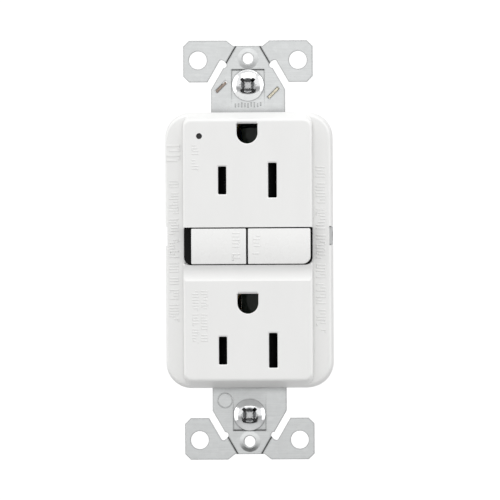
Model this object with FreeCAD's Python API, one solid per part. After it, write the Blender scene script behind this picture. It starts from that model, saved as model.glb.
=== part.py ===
"""Ground-fault duplex receptacle with a rectangular face, test and reset buttons and a steel strap.

Millimetres. +Z is up along the strap, -Y is the front face and X runs across it. The origin is the centre of
the strap's rear face, which is the plane that bears on the wall box. Each function makes one sub-part.
"""

import FreeCAD
import Part
import math
import os

V = FreeCAD.Vector
SIDES = (-1, 1)
PAST = 1.0              # how far a cutter runs past the face it opens

# Strap: plate thickness, end outline, holes and the tongues that hold the box screws
STRAP_T = 1.2
STRAP_FRONT = -STRAP_T
NECK_HALF, NECK_CORNER_Z = 9.35, 40.6
TAB_END_Z, TAB_HALF = 51.6, 3.75
EAR_END_Z, EAR_INNER_Z, EAR_HALF, EAR_CHAMFER = 52.95, 42.45, 16.35, 1.45
EAR_HOLE_X, EAR_HOLE_Z, EAR_HOLE_R = 12.65, 48.0, 2.27
PLATE_HOLE_Z, PLATE_HOLE_R, PLATE_COLLAR_R = 48.4, 1.4, 2.25
BREAK_SLOT_W, BREAK_SLOT_END, BREAK_LINE_END, BREAK_LINE_W, BREAK_LINE_DEPTH = 1.75, 7.85, 13.2, 0.3, 0.85
TONGUE_HALF, TONGUE_NEAR_Z, TONGUE_FAR_Z, TONGUE_DROP = 4.15, 36.0, 45.45, 0.15
SHEAR_GAP, SHEAR_DEPTH = 0.22, 0.85
BOSS_TOP_R, BOSS_RISE, BOSS_CLEAR = 1.7, 0.14, 0.08
BOSS_BASE_R = PLATE_HOLE_Z - TONGUE_FAR_Z - SHEAR_GAP - BOSS_CLEAR   # short of the sheared line
LEG_Z0, LEG_Z1, LEG_OUT, LEG_END, LEG_GAP = 1.25, 5.85, 20.5, 21.0, 0.1
CLIP_SLITS = ((-6.75, 41.3), (6.4, 39.7))
SLIT_LENGTH, SLIT_W = 3.7, 0.8

# Front cover
LEDGE_Y, FACE_Y, WALL = -4.2, -8.9, 1.8
FACE_INNER_Y = FACE_Y + WALL
LEDGE_INNER_Y = LEDGE_Y + WALL
COVER_END_Y = 9.0
BODY_HALF_X, BODY_HALF_Z, BODY_R = 21.0, 34.85, 6.5
FACE_HALF_X, FACE_HALF_Z, FACE_R = 16.25, 32.93, 2.0
END_SLOPE = (BODY_HALF_Z - FACE_HALF_Z) / (STRAP_FRONT - FACE_Y)
CAVITY_HALF_X, CAVITY_HALF_Z, CAVITY_R = 19.4, 33.0, 4.9
FACE_CAVITY_HALF_X, FACE_CAVITY_HALF_Z = 14.6, 31.2
BUTTON_Z0, BUTTON_Z1, BUTTON_R, SHARP_R = -3.77, 5.74, 2.0, 0.4
SCOOP_R, SCOOP_Z, SCOOP_DEPTH = 4.2, -5.6, 0.65

# Openings of the two outlets, from the centre height of their blade slots
OUTLETS = (17.6, -25.35)
BLADE_X, GROUND_RISE = 6.35, 11.93
GROUND_CENTRES = tuple(z + GROUND_RISE for z in OUTLETS)
HOT_W, HOT_H, NEUTRAL_W, NEUTRAL_H, SLOT_LEAD = 2.1, 7.05, 2.2, 8.8, 0.3
GROUND_R, GROUND_FLAT, GROUND_PASS_R = 2.66, 2.4, 3.4
LAMP_X, LAMP_Z, LAMP_R = -12.12, 28.8, 0.75

# Buttons and reset pin
GUIDE_TOP_Y, CAP_BACK_Y, CAP_TOP_Y, CROWN_R, CROWN_RISE = -4.8, -7.0, -9.15, 30.0, 0.35
RESET_X0, RESET_X1, TEST_X0, TEST_X1 = -14.2, -0.36, 0.12, 15.85
BUTTON_GAP_LOW, BUTTON_GAP_HIGH = 0.25, 0.32
PLUNGE_X, PLUNGE_Z, STEM_R, PIN_R = 5.5, 1.0, 1.75, 1.0
WELL_R, WELL_FLOOR_Y, STEM_HOLE_R = 2.9, -1.9, 1.9
LATCH_Y, LATCH_T = 15.4, 0.8

# Contacts and shutters
BUS_X, BUS_HALF, BASE_Y, BASE_T = 9.7, 1.3, 8.2, 0.6
LEAF_HALF_Z, BLADE_PASS_X, BLADE_PASS_Z, BASE_HALF_Z = 3.4, 1.1, 4.1, 4.7
POINT_FACE_Y = 9.7
SHUTTER_OUT, SHUTTER_IN, SHUTTER_HALF_Z, SHUTTER_Y0, SHUTTER_Y1 = 8.1, 4.0, 4.6, -6.7, -3.2
POCKET_Y, POCKET_R, POCKET_DEPTH = -4.9, 1.35, 2.0

# Rear housing
REAR_END_Y, REAR_HALF_X, REAR_HALF_Z, REAR_R, REAR_WALL = 26.0, 20.0, 33.7, 5.5, 1.6
REAR_START_Y = COVER_END_Y + 0.05
CORNER_SCREW_X, CORNER_SCREW_Z, POST_R = 16.8, 29.3, 2.6
CORNERS = tuple((sx * CORNER_SCREW_X, sz * CORNER_SCREW_Z) for sx in SIDES for sz in SIDES)

# Terminals, one in each side recess
TERMINAL_ROWS = (("line", 19.0, 6.9), ("load", -19.0, BASE_Y))
TERMINAL_Y = 16.6
RECESS_HALF, RECESS_Y0, RECESS_Y1, RECESS_FLOOR_X = 6.0, 11.0, 23.0, 14.8
PLATE_X0, PLATE_T, CLAMP_X0, CLAMP_T, HEAD_X0, HEAD_T, HEAD_R = 14.85, 1.0, 16.0, 1.2, 17.25, 2.0, 4.0
SHANK_R, SHANK_GAP = 2.08, 0.04
WIRE_X, WIRE_RISE, WIRE_HALF, WIRE_MOUTH = 16.7, 3.9, 1.5, 2.1

# Box screws and ground terminal
BOX_SCREW_Z, BOX_SHANK_R, BOX_HEAD_R, BOX_HEAD_Y, BOX_SCREW_END = 41.67, 1.75, 4.0, -3.05, 22.6
BOX_NECK_R, BOX_THREAD_Y = 1.45, 2.5
GROUND_TAB_HALF, GROUND_TAB_LEN, GROUND_TAB_Z, GROUND_SCREW_Y = 3.6, 13.4, -33.0, 8.6
GROUND_CLAMP_T = 0.85

# Circuit board, solenoid and sensing cores
BOARD_Y0, BOARD_T = 20.6, 1.6
BOARD_FEET_Y = BOARD_Y0 - 0.02
SOLENOID_X, SOLENOID_Y, SOLENOID_Z0, SOLENOID_Z1 = -7.0, 15.0, -26.0, -9.0
FLANGE_R, COIL_R, TUBE_R, BORE_R = 4.4, 4.1, 2.5, 1.8
CORE_Z, CASE_R, CASE_Y0, CASE_Y1, WIRE_HOLE_X = 17.2, 9.6, 10.4, 20.3, 1.4


# ---------------------------------------------------------------- shapes

def box(x0, x1, y0, y1, z0, z1):
    """Block between two corners, given in any order."""
    low = V(min(x0, x1), min(y0, y1), min(z0, z1))
    return Part.makeBox(abs(x1 - x0), abs(y1 - y0), abs(z1 - z0), low)


def rod_x(y, z, r, x0, x1):
    return Part.makeCylinder(r, abs(x1 - x0), V(min(x0, x1), y, z), V(1, 0, 0))


def rod_y(x, z, r, y0, y1):
    return Part.makeCylinder(r, abs(y1 - y0), V(x, min(y0, y1), z), V(0, 1, 0))


def rod_z(x, y, r, z0, z1):
    return Part.makeCylinder(r, abs(z1 - z0), V(x, y, min(z0, z1)), V(0, 0, 1))


def cone_y(x, z, r0, r1, y0, y1):
    """Cone along +Y, with radius r0 at y0 and r1 at y1."""
    return Part.makeCone(r0, r1, y1 - y0, V(x, y0, z), V(0, 1, 0))


def fuse(shapes):
    """One shape from several that touch or overlap."""
    shapes = list(shapes)
    if len(shapes) == 1:
        return shapes[0]
    return shapes[0].multiFuse(shapes[1:]).removeSplitter()


def cut(shape, cutters):
    return shape.cut(Part.makeCompound(list(cutters)))


def mirror_x(shape):
    return shape.mirror(V(0, 0, 0), V(1, 0, 0))


def mirror_z(shape):
    return shape.mirror(V(0, 0, 0), V(0, 0, 1))


def corner_wire(x0, x1, z0, z1, radii, y):
    """Rectangle in the plane Y = y with four corner radii: low-left, low-right, high-right, high-left."""
    corners = ((x0, z0, 1, 1), (x1, z0, -1, 1), (x1, z1, -1, -1), (x0, z1, 1, -1))
    edges, last = [], None
    for (x, z, inward_x, inward_z), start, r in zip(corners, (180, 270, 0, 90), radii):
        centre = V(x + inward_x * r, y, z + inward_z * r)
        turns = [math.radians(start + step) for step in (0, 45, 90)]
        arc = [centre + V(r * math.cos(a), 0, r * math.sin(a)) for a in turns]
        if last is not None:
            edges.append(Part.LineSegment(last, arc[0]).toShape())
        edges.append(Part.Arc(*arc).toShape())
        last = arc[2]
    edges.append(Part.LineSegment(last, edges[0].Vertexes[0].Point).toShape())
    return Part.Wire(edges)


def rounded_wire(hx, hz, r, y, cx=0.0, cz=0.0):
    """Rounded rectangle in the plane Y = y, half sizes hx and hz."""
    return corner_wire(cx - hx, cx + hx, cz - hz, cz + hz, (r,) * 4, y)


def rounded_block(hx, hz, r, y0, y1, cx=0.0, cz=0.0):
    return Part.Face(rounded_wire(hx, hz, r, y0, cx, cz)).extrude(V(0, y1 - y0, 0))


def loft(wires):
    return Part.makeLoft(wires, True, True)


def prism(points, push):
    """Solid from a closed outline of points, pushed along a vector."""
    return Part.Face(Part.makePolygon(points + points[:1])).extrude(push)


def plate_xz(points, y0, y1):
    return prism([V(x, y0, z) for x, z in points], V(0, y1 - y0, 0))


def prism_z(points, z0, z1):
    return prism([V(x, y, z0) for x, y in points], V(0, 0, z1 - z0))


def prism_x(points, x0, x1):
    return prism([V(x0, y, z) for y, z in points], V(x1 - x0, 0, 0))


def strip_outline(path, t):
    """Outline of a bent sheet of thickness t that follows a path of 2-D points, with mitred corners."""
    normals = []
    for (a, b), (c, d) in zip(path, path[1:]):
        length = math.hypot(c - a, d - b)
        normals.append(((b - d) / length, (c - a) / length))
    left, right = [], []
    for i, (a, b) in enumerate(path):
        n0, n1 = normals[max(i - 1, 0)], normals[min(i, len(normals) - 1)]
        scale = t / 2 / (1 + n0[0] * n1[0] + n0[1] * n1[1])
        da, db = (n0[0] + n1[0]) * scale, (n0[1] + n1[1]) * scale
        left.append((a + da, b + db))
        right.append((a - da, b - db))
    return left + right[::-1]


def edges_where(shape, test):
    return [e for e in shape.Edges if all(test(v.Point) for v in e.Vertexes)]


def edges_at_y(shape, y):
    return edges_where(shape, lambda p: abs(p.y - y) < 1e-4)


# ---------------------------------------------------------------- casings

def blade_slot(x, z, w, h):
    """Cutter for a blade slot with a chamfered mouth."""
    corner, over = 0.3, 0.2
    body = rounded_block(w / 2, h / 2, corner, FACE_Y - PAST, FACE_INNER_Y + PAST, x, z)
    wide = SLOT_LEAD + over
    mouth = loft([rounded_wire(w / 2 + wide, h / 2 + wide, corner, FACE_Y - over, x, z),
                  rounded_wire(w / 2, h / 2, corner, FACE_Y + SLOT_LEAD, x, z)])
    return fuse([body, mouth])


def ground_outline(z, r, flat, y):
    """Ground opening: a half circle below and a flat edge above."""
    top = z + flat
    left_low, right_low, right_top, left_top = V(-r, y, z), V(r, y, z), V(r, y, top), V(-r, y, top)
    return Part.Wire([Part.Arc(left_low, V(0, y, z - r), right_low).toShape(),
                      Part.LineSegment(right_low, right_top).toShape(),
                      Part.LineSegment(right_top, left_top).toShape(),
                      Part.LineSegment(left_top, left_low).toShape()])


def ground_slot(z):
    """Cutter for a ground opening, with a softened rim and a longer lead-in along its flat edge."""
    rim, lead_rise, lead_depth, side = 0.35, 0.75, 0.6, 0.2
    top = z + GROUND_FLAT
    body = Part.Face(ground_outline(z, GROUND_R, GROUND_FLAT, FACE_Y - PAST))
    body = body.extrude(V(0, LEDGE_INNER_Y + rim - FACE_Y + PAST, 0))
    mouth = loft([ground_outline(z, GROUND_R + rim, GROUND_FLAT, FACE_Y - 0.1),
                  ground_outline(z, GROUND_R, GROUND_FLAT, FACE_Y + 0.25)])
    lead = prism_x([(FACE_Y - rim, top - rim), (FACE_Y - rim, top + lead_rise), (FACE_Y + lead_depth, top)],
                   side - GROUND_R, GROUND_R - side)
    return fuse([body, mouth, lead])


def button_opening():
    """Cutter for the opening under the buttons: through the face's sides, then through the ledge's wall."""
    radii = (BUTTON_R, BUTTON_R, SHARP_R, SHARP_R)
    lower = Part.Face(corner_wire(-FACE_HALF_X, FACE_HALF_X, BUTTON_Z0, BUTTON_Z1, radii, LEDGE_Y))
    lower = lower.extrude(V(0, WALL + PAST, 0))
    reach, low_r = FACE_HALF_X + PAST, BUTTON_R + 0.7
    upper_radii = (low_r, low_r, SHARP_R, SHARP_R)
    upper = Part.Face(corner_wire(-reach, reach, BUTTON_Z0, BUTTON_Z1, upper_radii, FACE_Y - PAST))
    return fuse([lower, upper.extrude(V(0, LEDGE_Y - FACE_Y + PAST, 0))])


def cover_cutters():
    """Everything cut through the cover's walls."""
    reach = FACE_HALF_X + PAST
    made = [button_opening(), rod_x(FACE_Y + SCOOP_DEPTH - SCOOP_R, SCOOP_Z, SCOOP_R, -reach, reach),
            rod_y(LAMP_X, LAMP_Z, LAMP_R, FACE_Y - PAST, FACE_INNER_Y + PAST)]
    for z in OUTLETS:
        made += [blade_slot(-BLADE_X, z, HOT_W, HOT_H), blade_slot(BLADE_X, z, NEUTRAL_W, NEUTRAL_H)]
    made += [ground_slot(z) for z in GROUND_CENTRES]
    low, high = LEG_Z0 - LEG_GAP, LEG_Z1 + LEG_GAP
    for s in SIDES:
        outside = s * (BODY_HALF_X + PAST)
        made.append(box(s * (LEG_OUT - 0.05), outside, LEDGE_Y - PAST, LEDGE_INNER_Y, low, high))
        made.append(box(s * (CAVITY_HALF_X - PAST), outside, LEDGE_INNER_Y, COVER_END_Y + PAST, low, high))
        made.append(box(-NECK_HALF - 0.15, NECK_HALF + 0.15, STRAP_FRONT - 0.05, COVER_END_Y + PAST,
                        s * (CAVITY_HALF_Z - PAST), s * (BODY_HALF_Z + PAST)))
    return made


def front_cover():
    """Ledge and raised face in one moulding, hollow behind, with a boss for each corner screw."""
    ledge_half_z = BODY_HALF_Z - END_SLOPE * (STRAP_FRONT - LEDGE_Y)
    ledge_draft, face_draft, ledge_fillet, face_fillet, boss_r, pilot_r = 0.15, 0.08, 0.6, 0.7, 2.4, 1.25
    rim = loft([rounded_wire(BODY_HALF_X - ledge_draft, ledge_half_z, BODY_R - 0.4, LEDGE_Y),
                rounded_wire(BODY_HALF_X, BODY_HALF_Z, BODY_R, STRAP_FRONT)])
    rim = rim.makeFillet(ledge_fillet, edges_at_y(rim, LEDGE_Y))
    skirt = rounded_block(BODY_HALF_X, BODY_HALF_Z, BODY_R, STRAP_FRONT, COVER_END_Y)
    face = loft([rounded_wire(FACE_HALF_X, FACE_HALF_Z, FACE_R, FACE_Y),
                 rounded_wire(FACE_HALF_X + face_draft, BODY_HALF_Z, FACE_R + 0.4, STRAP_FRONT)])
    face = face.makeFillet(face_fillet, edges_at_y(face, FACE_Y))
    hollow = [rounded_block(CAVITY_HALF_X, CAVITY_HALF_Z, CAVITY_R, LEDGE_INNER_Y, COVER_END_Y + PAST),
              rounded_block(FACE_CAVITY_HALF_X, FACE_CAVITY_HALF_Z, 1.0, FACE_INNER_Y, LEDGE_INNER_Y + PAST)]
    shell = fuse([rim, skirt, face]).cut(fuse(hollow))
    bosses = [rod_y(x, z, boss_r, LEDGE_INNER_Y - 0.2, COVER_END_Y - 0.4) for x, z in CORNERS]
    pilots = [rod_y(x, z, pilot_r, STRAP_FRONT - 0.2, COVER_END_Y) for x, z in CORNERS]
    return cut(cut(fuse([shell] + bosses), pilots), cover_cutters()).removeSplitter()


def end_tower(s):
    """Wall that fills the cover's end notch behind the strap."""
    t, gap = 1.5, 0.05
    inner, outer = s * (CAVITY_HALF_Z + gap), s * (BODY_HALF_Z - gap)
    wall = box(-NECK_HALF, NECK_HALF, gap, REAR_START_Y + t, inner, outer)
    foot = box(-NECK_HALF, NECK_HALF, REAR_START_Y, REAR_START_Y + t, s * (REAR_HALF_Z - t), outer)
    return fuse([wall, foot])


def wire_entry(x, z):
    """Square hole with a funnel mouth in the rear face, for one solid wire."""
    hole = rounded_block(WIRE_HALF, WIRE_HALF, 0.5, RECESS_Y1 - 0.5, REAR_END_Y + PAST, x, z)
    funnel = loft([rounded_wire(WIRE_HALF, WIRE_HALF, 0.5, REAR_END_Y - 1.0, x, z),
                   rounded_wire(WIRE_MOUTH, WIRE_MOUTH, 0.8, REAR_END_Y + 0.2, x, z)])
    return fuse([hole, funnel])


def terminal_cutters(s, z):
    """Recess, screw clearance, plate slot and two wire entries of one terminal."""
    floor, screw_gap, screw_depth, tail_half, tail_depth = s * RECESS_FLOOR_X, 0.3, 2.0, 1.6, 3.0
    made = [box(floor, s * (REAR_HALF_X + PAST), RECESS_Y0, RECESS_Y1, z - RECESS_HALF, z + RECESS_HALF),
            rod_x(TERMINAL_Y, z, SHANK_R + screw_gap, floor, s * (RECESS_FLOOR_X - screw_depth)),
            box(s * PLATE_X0, s * (PLATE_X0 + PLATE_T), RECESS_Y0 - tail_depth, RECESS_Y0 + 0.5,
                z - tail_half, z + tail_half)]
    return made + [wire_entry(s * WIRE_X, z + rise) for rise in (-WIRE_RISE, WIRE_RISE)]


def ground_cutters():
    """Slot for the ground tab, a shallow bay for its screw and clamp, and the screw's clearance."""
    half, bay, depth, screw_gap, screw_depth = GROUND_TAB_HALF + 0.1, 6.0, 5.6, 0.3, 4.2
    return [box(-half, half, -PAST, GROUND_TAB_LEN + 0.9, GROUND_TAB_Z - 4, GROUND_TAB_Z + 0.05),
            rod_z(0, GROUND_SCREW_Y, SHANK_R + screw_gap, GROUND_TAB_Z - 3, GROUND_TAB_Z + screw_depth),
            box(-bay, bay, GROUND_SCREW_Y - depth, GROUND_SCREW_Y + depth,
                GROUND_TAB_Z - bay, GROUND_TAB_Z - STRAP_T)]


def rear_housing():
    """Back shell with four side recesses, wire entries in its floor and a tower at each end of the strap."""
    floor_y, edge, block_wall, block_depth = REAR_END_Y - 0.5, 1.1, 1.2, 2.6
    pass_r, head_r, head_depth, leg_gap = 1.6, 2.2, 2.2, 0.06
    block_half = RECESS_HALF + block_wall
    outer = rounded_block(REAR_HALF_X, REAR_HALF_Z, REAR_R, REAR_START_Y, REAR_END_Y)
    outer = outer.makeChamfer(edge, edges_at_y(outer, REAR_END_Y))
    hollow = rounded_block(REAR_HALF_X - REAR_WALL, REAR_HALF_Z - REAR_WALL, REAR_R - REAR_WALL,
                           REAR_START_Y - PAST, REAR_END_Y - REAR_WALL)
    pieces = [outer.cut(hollow), end_tower(1), end_tower(-1)]
    for s in SIDES:
        pieces += [box(s * (RECESS_FLOOR_X - block_depth), s * (REAR_HALF_X - 0.3),
                       RECESS_Y0 - block_wall, floor_y, z - block_half, z + block_half)
                   for _, z, _ in TERMINAL_ROWS]
    pieces += [rod_y(x, z, POST_R, REAR_START_Y, floor_y) for x, z in CORNERS]
    pieces.append(box(-GROUND_TAB_HALF - 0.3, GROUND_TAB_HALF + 0.3, 5.2, GROUND_TAB_LEN + 1.6,
                      GROUND_TAB_Z - 0.65, GROUND_TAB_Z + 5.2))
    cutters = [c for s in SIDES for _, z, _ in TERMINAL_ROWS for c in terminal_cutters(s, z)]
    cutters += [rod_y(x, z, pass_r, REAR_START_Y - PAST, REAR_END_Y + PAST) for x, z in CORNERS]
    cutters += [rod_y(x, z, head_r, REAR_END_Y - head_depth, REAR_END_Y + PAST) for x, z in CORNERS]
    cutters += [box(s * (LEG_OUT - STRAP_T - leg_gap), s * (REAR_HALF_X + PAST), REAR_START_Y - PAST,
                    LEG_END + 0.2, LEG_Z0 - LEG_GAP, LEG_Z1 + LEG_GAP) for s in SIDES]
    return cut(fuse(pieces), cutters + ground_cutters()).removeSplitter()


def inner_frame():
    """Black divider behind the strap that carries the contacts."""
    gap, open_y, groove_y, tail_half = 0.2, COVER_END_Y + PAST, BASE_Y - 0.8, 1.8
    block = rounded_block(CAVITY_HALF_X - gap, CAVITY_HALF_Z - gap, CAVITY_R - gap, 0.1, COVER_END_Y - 0.1)
    bus_out, plate_out = BUS_X + BUS_HALF + gap, PLATE_X0 + PLATE_T + 2 * gap
    cutters = []
    for z, ground_z in zip(OUTLETS, GROUND_CENTRES):
        cutters += [box(s * 3.5, s * 8.6, -PAST, open_y, z - 5.2, z + 5.2) for s in SIDES]
        cutters.append(rod_y(0, ground_z, 4.3, -PAST, open_y))
        cutters.append(box(-3.8, 3.8, -PAST, 1.3, ground_z - 7.1, ground_z + 7.1))
    for s in SIDES:
        cutters.append(box(s * 8.3, s * bus_out, groove_y, open_y, OUTLETS[1] - 5.2, OUTLETS[0] + 5.2))
        cutters += [box(s * (bus_out - gap), s * plate_out, min(groove_y, end - 0.3), open_y,
                        z - tail_half, z + tail_half) for _, z, end in TERMINAL_ROWS]
        cutters.append(box(s * (LEG_OUT - STRAP_T - 0.3), s * BODY_HALF_X, -PAST, open_y,
                           LEG_Z0 - gap, LEG_Z1 + gap))
    cutters += [rod_y(x, z, POST_R, -PAST, open_y) for x, z in CORNERS]
    cutters.append(rod_y(-PLUNGE_X, PLUNGE_Z, STEM_HOLE_R, -PAST, open_y))
    cutters.append(box(PLUNGE_X - 2.9, PLUNGE_X + 2.7, 0, open_y, PLUNGE_Z - 3, PLUNGE_Z + 8))
    cutters.append(rod_y(LAMP_X, LAMP_Z, 1.5, -PAST, open_y))
    tab = GROUND_TAB_HALF + gap
    cutters.append(box(-tab, tab, -PAST, open_y, GROUND_TAB_Z - 3, GROUND_TAB_Z + 0.3))
    cutters.append(box(-tab - gap, tab + gap, 4.9, open_y, GROUND_TAB_Z - 3, GROUND_TAB_Z + 5.5))
    return cut(block, cutters).removeSplitter()


def button_guide():
    """Black tray under the two buttons, with a spring well and a stem hole for each."""
    margin, foot_half_x, foot_half_z = 0.12, 17.6, 6.8
    half, radii = FACE_HALF_X - margin, (BUTTON_R, BUTTON_R, SHARP_R, SHARP_R)
    tray = Part.Face(corner_wire(-half, half, BUTTON_Z0 + margin, BUTTON_Z1 - margin, radii, GUIDE_TOP_Y))
    tray = tray.extrude(V(0, LEDGE_INNER_Y + 0.02 - GUIDE_TOP_Y, 0))
    foot = rounded_block(foot_half_x, foot_half_z, 0.8, LEDGE_INNER_Y + 0.02, STRAP_FRONT - 0.05, 0, PLUNGE_Z)
    holes = [rod_y(s * PLUNGE_X, PLUNGE_Z, WELL_R, GUIDE_TOP_Y - PAST, WELL_FLOOR_Y) for s in SIDES]
    holes += [rod_y(s * PLUNGE_X, PLUNGE_Z, STEM_R + 0.05, WELL_FLOOR_Y - PAST, 0) for s in SIDES]
    return cut(fuse([tray, foot]), holes).removeSplitter()


# ---------------------------------------------------------------- strap

def strap_plate():
    """Flat blank of the strap: four quarters of one outline, mirrored."""
    notch = 1.7
    quarter = [(TAB_HALF, TAB_END_Z), (TAB_HALF + notch, EAR_END_Z), (EAR_HALF - EAR_CHAMFER, EAR_END_Z),
               (EAR_HALF, EAR_END_Z - EAR_CHAMFER), (EAR_HALF, EAR_INNER_Z + EAR_CHAMFER),
               (EAR_HALF - EAR_CHAMFER, EAR_INNER_Z), (NECK_HALF - 0.4, EAR_INNER_Z),
               (NECK_HALF, NECK_CORNER_Z)]
    right = quarter + [(x, -z) for x, z in quarter[::-1]]
    return plate_xz(right + [(-x, z) for x, z in right[::-1]], STRAP_FRONT, 0)


def break_line():
    """Slanted slot that frees the upper right ear, and the score line that carries on from it."""
    along, across = V(-0.5, 0, math.sqrt(0.75)), V(math.sqrt(0.75), 0, 0.5)
    start = V(NECK_HALF, 0, NECK_CORNER_Z)
    corner = 0.6

    def bar(u0, u1, n0, n1, y1):
        corners = ((u0, n0), (u1, n0), (u1, n1), (u0, n1))
        return prism([start + along * u + across * n + V(0, -2, 0) for u, n in corners], V(0, y1 + 2, 0))

    def disc(back, n, r):
        at = start + along * (BREAK_SLOT_END - back) + across * n
        return rod_y(at.x, at.z, r, -2, PAST)

    slot = [bar(-6, BREAK_SLOT_END - corner, 0, BREAK_SLOT_W, PAST),
            bar(-1, BREAK_SLOT_END, corner, BREAK_SLOT_W - corner, PAST),
            disc(corner, corner, corner), disc(corner, BREAK_SLOT_W - corner, corner), disc(0.9, 0.3, 0.75)]
    half = BREAK_LINE_W / 2
    score = bar(BREAK_SLOT_END - 0.4, BREAK_LINE_END, -half, half, STRAP_FRONT + BREAK_LINE_DEPTH)
    return slot + [score]


def strap_leg(s):
    """Arm that leaves the strap sideways and turns back along the housing's side."""
    middle = s * (LEG_OUT - STRAP_T / 2)
    path = [(s * (NECK_HALF - 1), STRAP_FRONT / 2), (middle, STRAP_FRONT / 2), (middle, LEG_END)]
    leg = prism_z(strip_outline(path, STRAP_T), LEG_Z0, LEG_Z1)
    bend = edges_where(leg, lambda p: abs(abs(p.x) - LEG_OUT) < 1e-4 and abs(p.y - STRAP_FRONT) < 1e-4)
    hole = rod_x(LEG_END - 3.2, (LEG_Z0 + LEG_Z1) / 2, 1.3, s * (LEG_OUT - 2), s * (LEG_OUT + PAST))
    return leg.makeFillet(0.9, bend).cut(hole)


def screw_tongue(s):
    """Sheared tongue that drops below the strap's face towards its free edge and carries a box screw."""
    outline = [(STRAP_FRONT, s * TONGUE_NEAR_Z), (STRAP_FRONT + TONGUE_DROP, s * TONGUE_FAR_Z),
               (TONGUE_DROP, s * TONGUE_FAR_Z), (0, s * TONGUE_NEAR_Z)]
    return prism_x(outline, -TONGUE_HALF, TONGUE_HALF)


def ground_tab():
    """Tab lanced from the strap and bent back along the lower end wall; it carries the ground screw."""
    tab = box(-GROUND_TAB_HALF, GROUND_TAB_HALF, STRAP_FRONT, GROUND_TAB_LEN,
              GROUND_TAB_Z - STRAP_T, GROUND_TAB_Z)
    bend = edges_where(tab, lambda p: abs(p.y - STRAP_FRONT) < 1e-4 and abs(p.z - GROUND_TAB_Z) < 1e-4)
    return tab.makeFillet(0.8, bend)


def clip_slit(x, z, length, width, y0, y1):
    """Bar at 45 degrees in the strap's plane."""
    bar = box(-length / 2, length / 2, y0, y1, -width / 2, width / 2)
    bar.rotate(V(0, 0, 0), V(0, 1, 0), -45)
    bar.translate(V(x, 0, z))
    return bar


def ground_rivet_places():
    """Centres of the rivets that hold the ground contacts, as (x, z)."""
    reach = 5.4
    heights = (z + side * reach for z in GROUND_CENTRES for side in SIDES)
    return [(0, z) for z in heights if z < CAVITY_HALF_Z]


def strap_windows():
    """Openings cut before the tongues and the tab are joined on."""
    tab_end, blade_in, blade_out, blade_half = GROUND_TAB_Z + GROUND_TAB_LEN, 4.7, 8.0, 5.6
    made = [box(-TONGUE_HALF, TONGUE_HALF, -2, PAST, s * TONGUE_NEAR_Z, s * TONGUE_FAR_Z) for s in SIDES]
    made += [box(s * blade_in, s * blade_out, -2, PAST, z - blade_half, z + blade_half)
             for s in SIDES for z in OUTLETS]
    return made + [box(-GROUND_TAB_HALF, GROUND_TAB_HALF, -2, PAST, GROUND_TAB_Z, tab_end)]


def strap_holes():
    """Every round hole, the box screws' slots, the sheared lines beyond the tongues and the clip slits."""
    slot_half, slot_r = 2.6, 1.9
    made = [rod_y(sx * EAR_HOLE_X, sz * EAR_HOLE_Z, EAR_HOLE_R, -2, PAST) for sx in SIDES for sz in SIDES]
    for s in SIDES:
        made.append(rod_y(0, s * PLATE_HOLE_Z, PLATE_HOLE_R, -2, 2))
        made.append(rounded_block(slot_half, slot_r + 0.05, slot_r, -2, 2, 0, s * BOX_SCREW_Z))
        made.append(box(-TONGUE_HALF, TONGUE_HALF, -2, STRAP_FRONT + SHEAR_DEPTH,
                        s * TONGUE_FAR_Z, s * (TONGUE_FAR_Z + SHEAR_GAP)))
        made.append(rod_y(s * PLUNGE_X, PLUNGE_Z, STEM_HOLE_R, -2, PAST))
    made += [rod_y(0, z, GROUND_PASS_R, -2, PAST) for z in GROUND_CENTRES]
    made += [rod_y(x, z, 0.8, -2, PAST) for x, z in ground_rivet_places()]
    made += [clip_slit(x, z, SLIT_LENGTH, SLIT_W, -2, PAST) for x, z in CLIP_SLITS]
    return made + [rod_z(0, GROUND_SCREW_Y, SHANK_R + SHANK_GAP, GROUND_TAB_Z - 3, GROUND_TAB_Z + PAST)]


def mounting_strap():
    """Steel yoke: break-off ears, screw tongues, side legs and the ground tab, bent from one sheet."""
    upper = break_line()
    upper += [mirror_x(c) for c in upper]
    plate = cut(fuse([strap_plate(), strap_leg(-1), strap_leg(1)]), strap_windows())
    for cutter in upper + [mirror_z(c) for c in upper]:
        plate = plate.cut(cutter)
    collars = [rod_y(0, s * PLATE_HOLE_Z, PLATE_COLLAR_R, -0.2, 0.95) for s in SIDES]
    bosses = [cone_y(0, s * PLATE_HOLE_Z, BOSS_TOP_R, BOSS_BASE_R, STRAP_FRONT - BOSS_RISE, STRAP_FRONT)
              for s in SIDES]
    plate = fuse([plate, screw_tongue(1), screw_tongue(-1), ground_tab()] + collars + bosses)
    return cut(plate, strap_holes()).removeSplitter()


# ---------------------------------------------------------------- fixings on the strap

def driver_recess(z):
    """Straight slot and tapered cross for a screwdriver, open towards -Y."""
    y0, y1, arm, reach = BOX_HEAD_Y - 0.3, BOX_HEAD_Y + 1.3, 0.42, 2.05
    slot = box(-reach - PAST, reach + PAST, y0, BOX_HEAD_Y + 0.65, z - 0.45, z + 0.45)
    arms = fuse([box(-reach, reach, y0, y1, z - arm, z + arm), box(-arm, arm, y0, y1, z - reach, z + reach)])
    return [slot, arms.common(cone_y(0, z, reach + 0.1, 0.35, y0, y1)), cone_y(0, z, 1.1, 0.45, y0, y1)]


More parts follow.
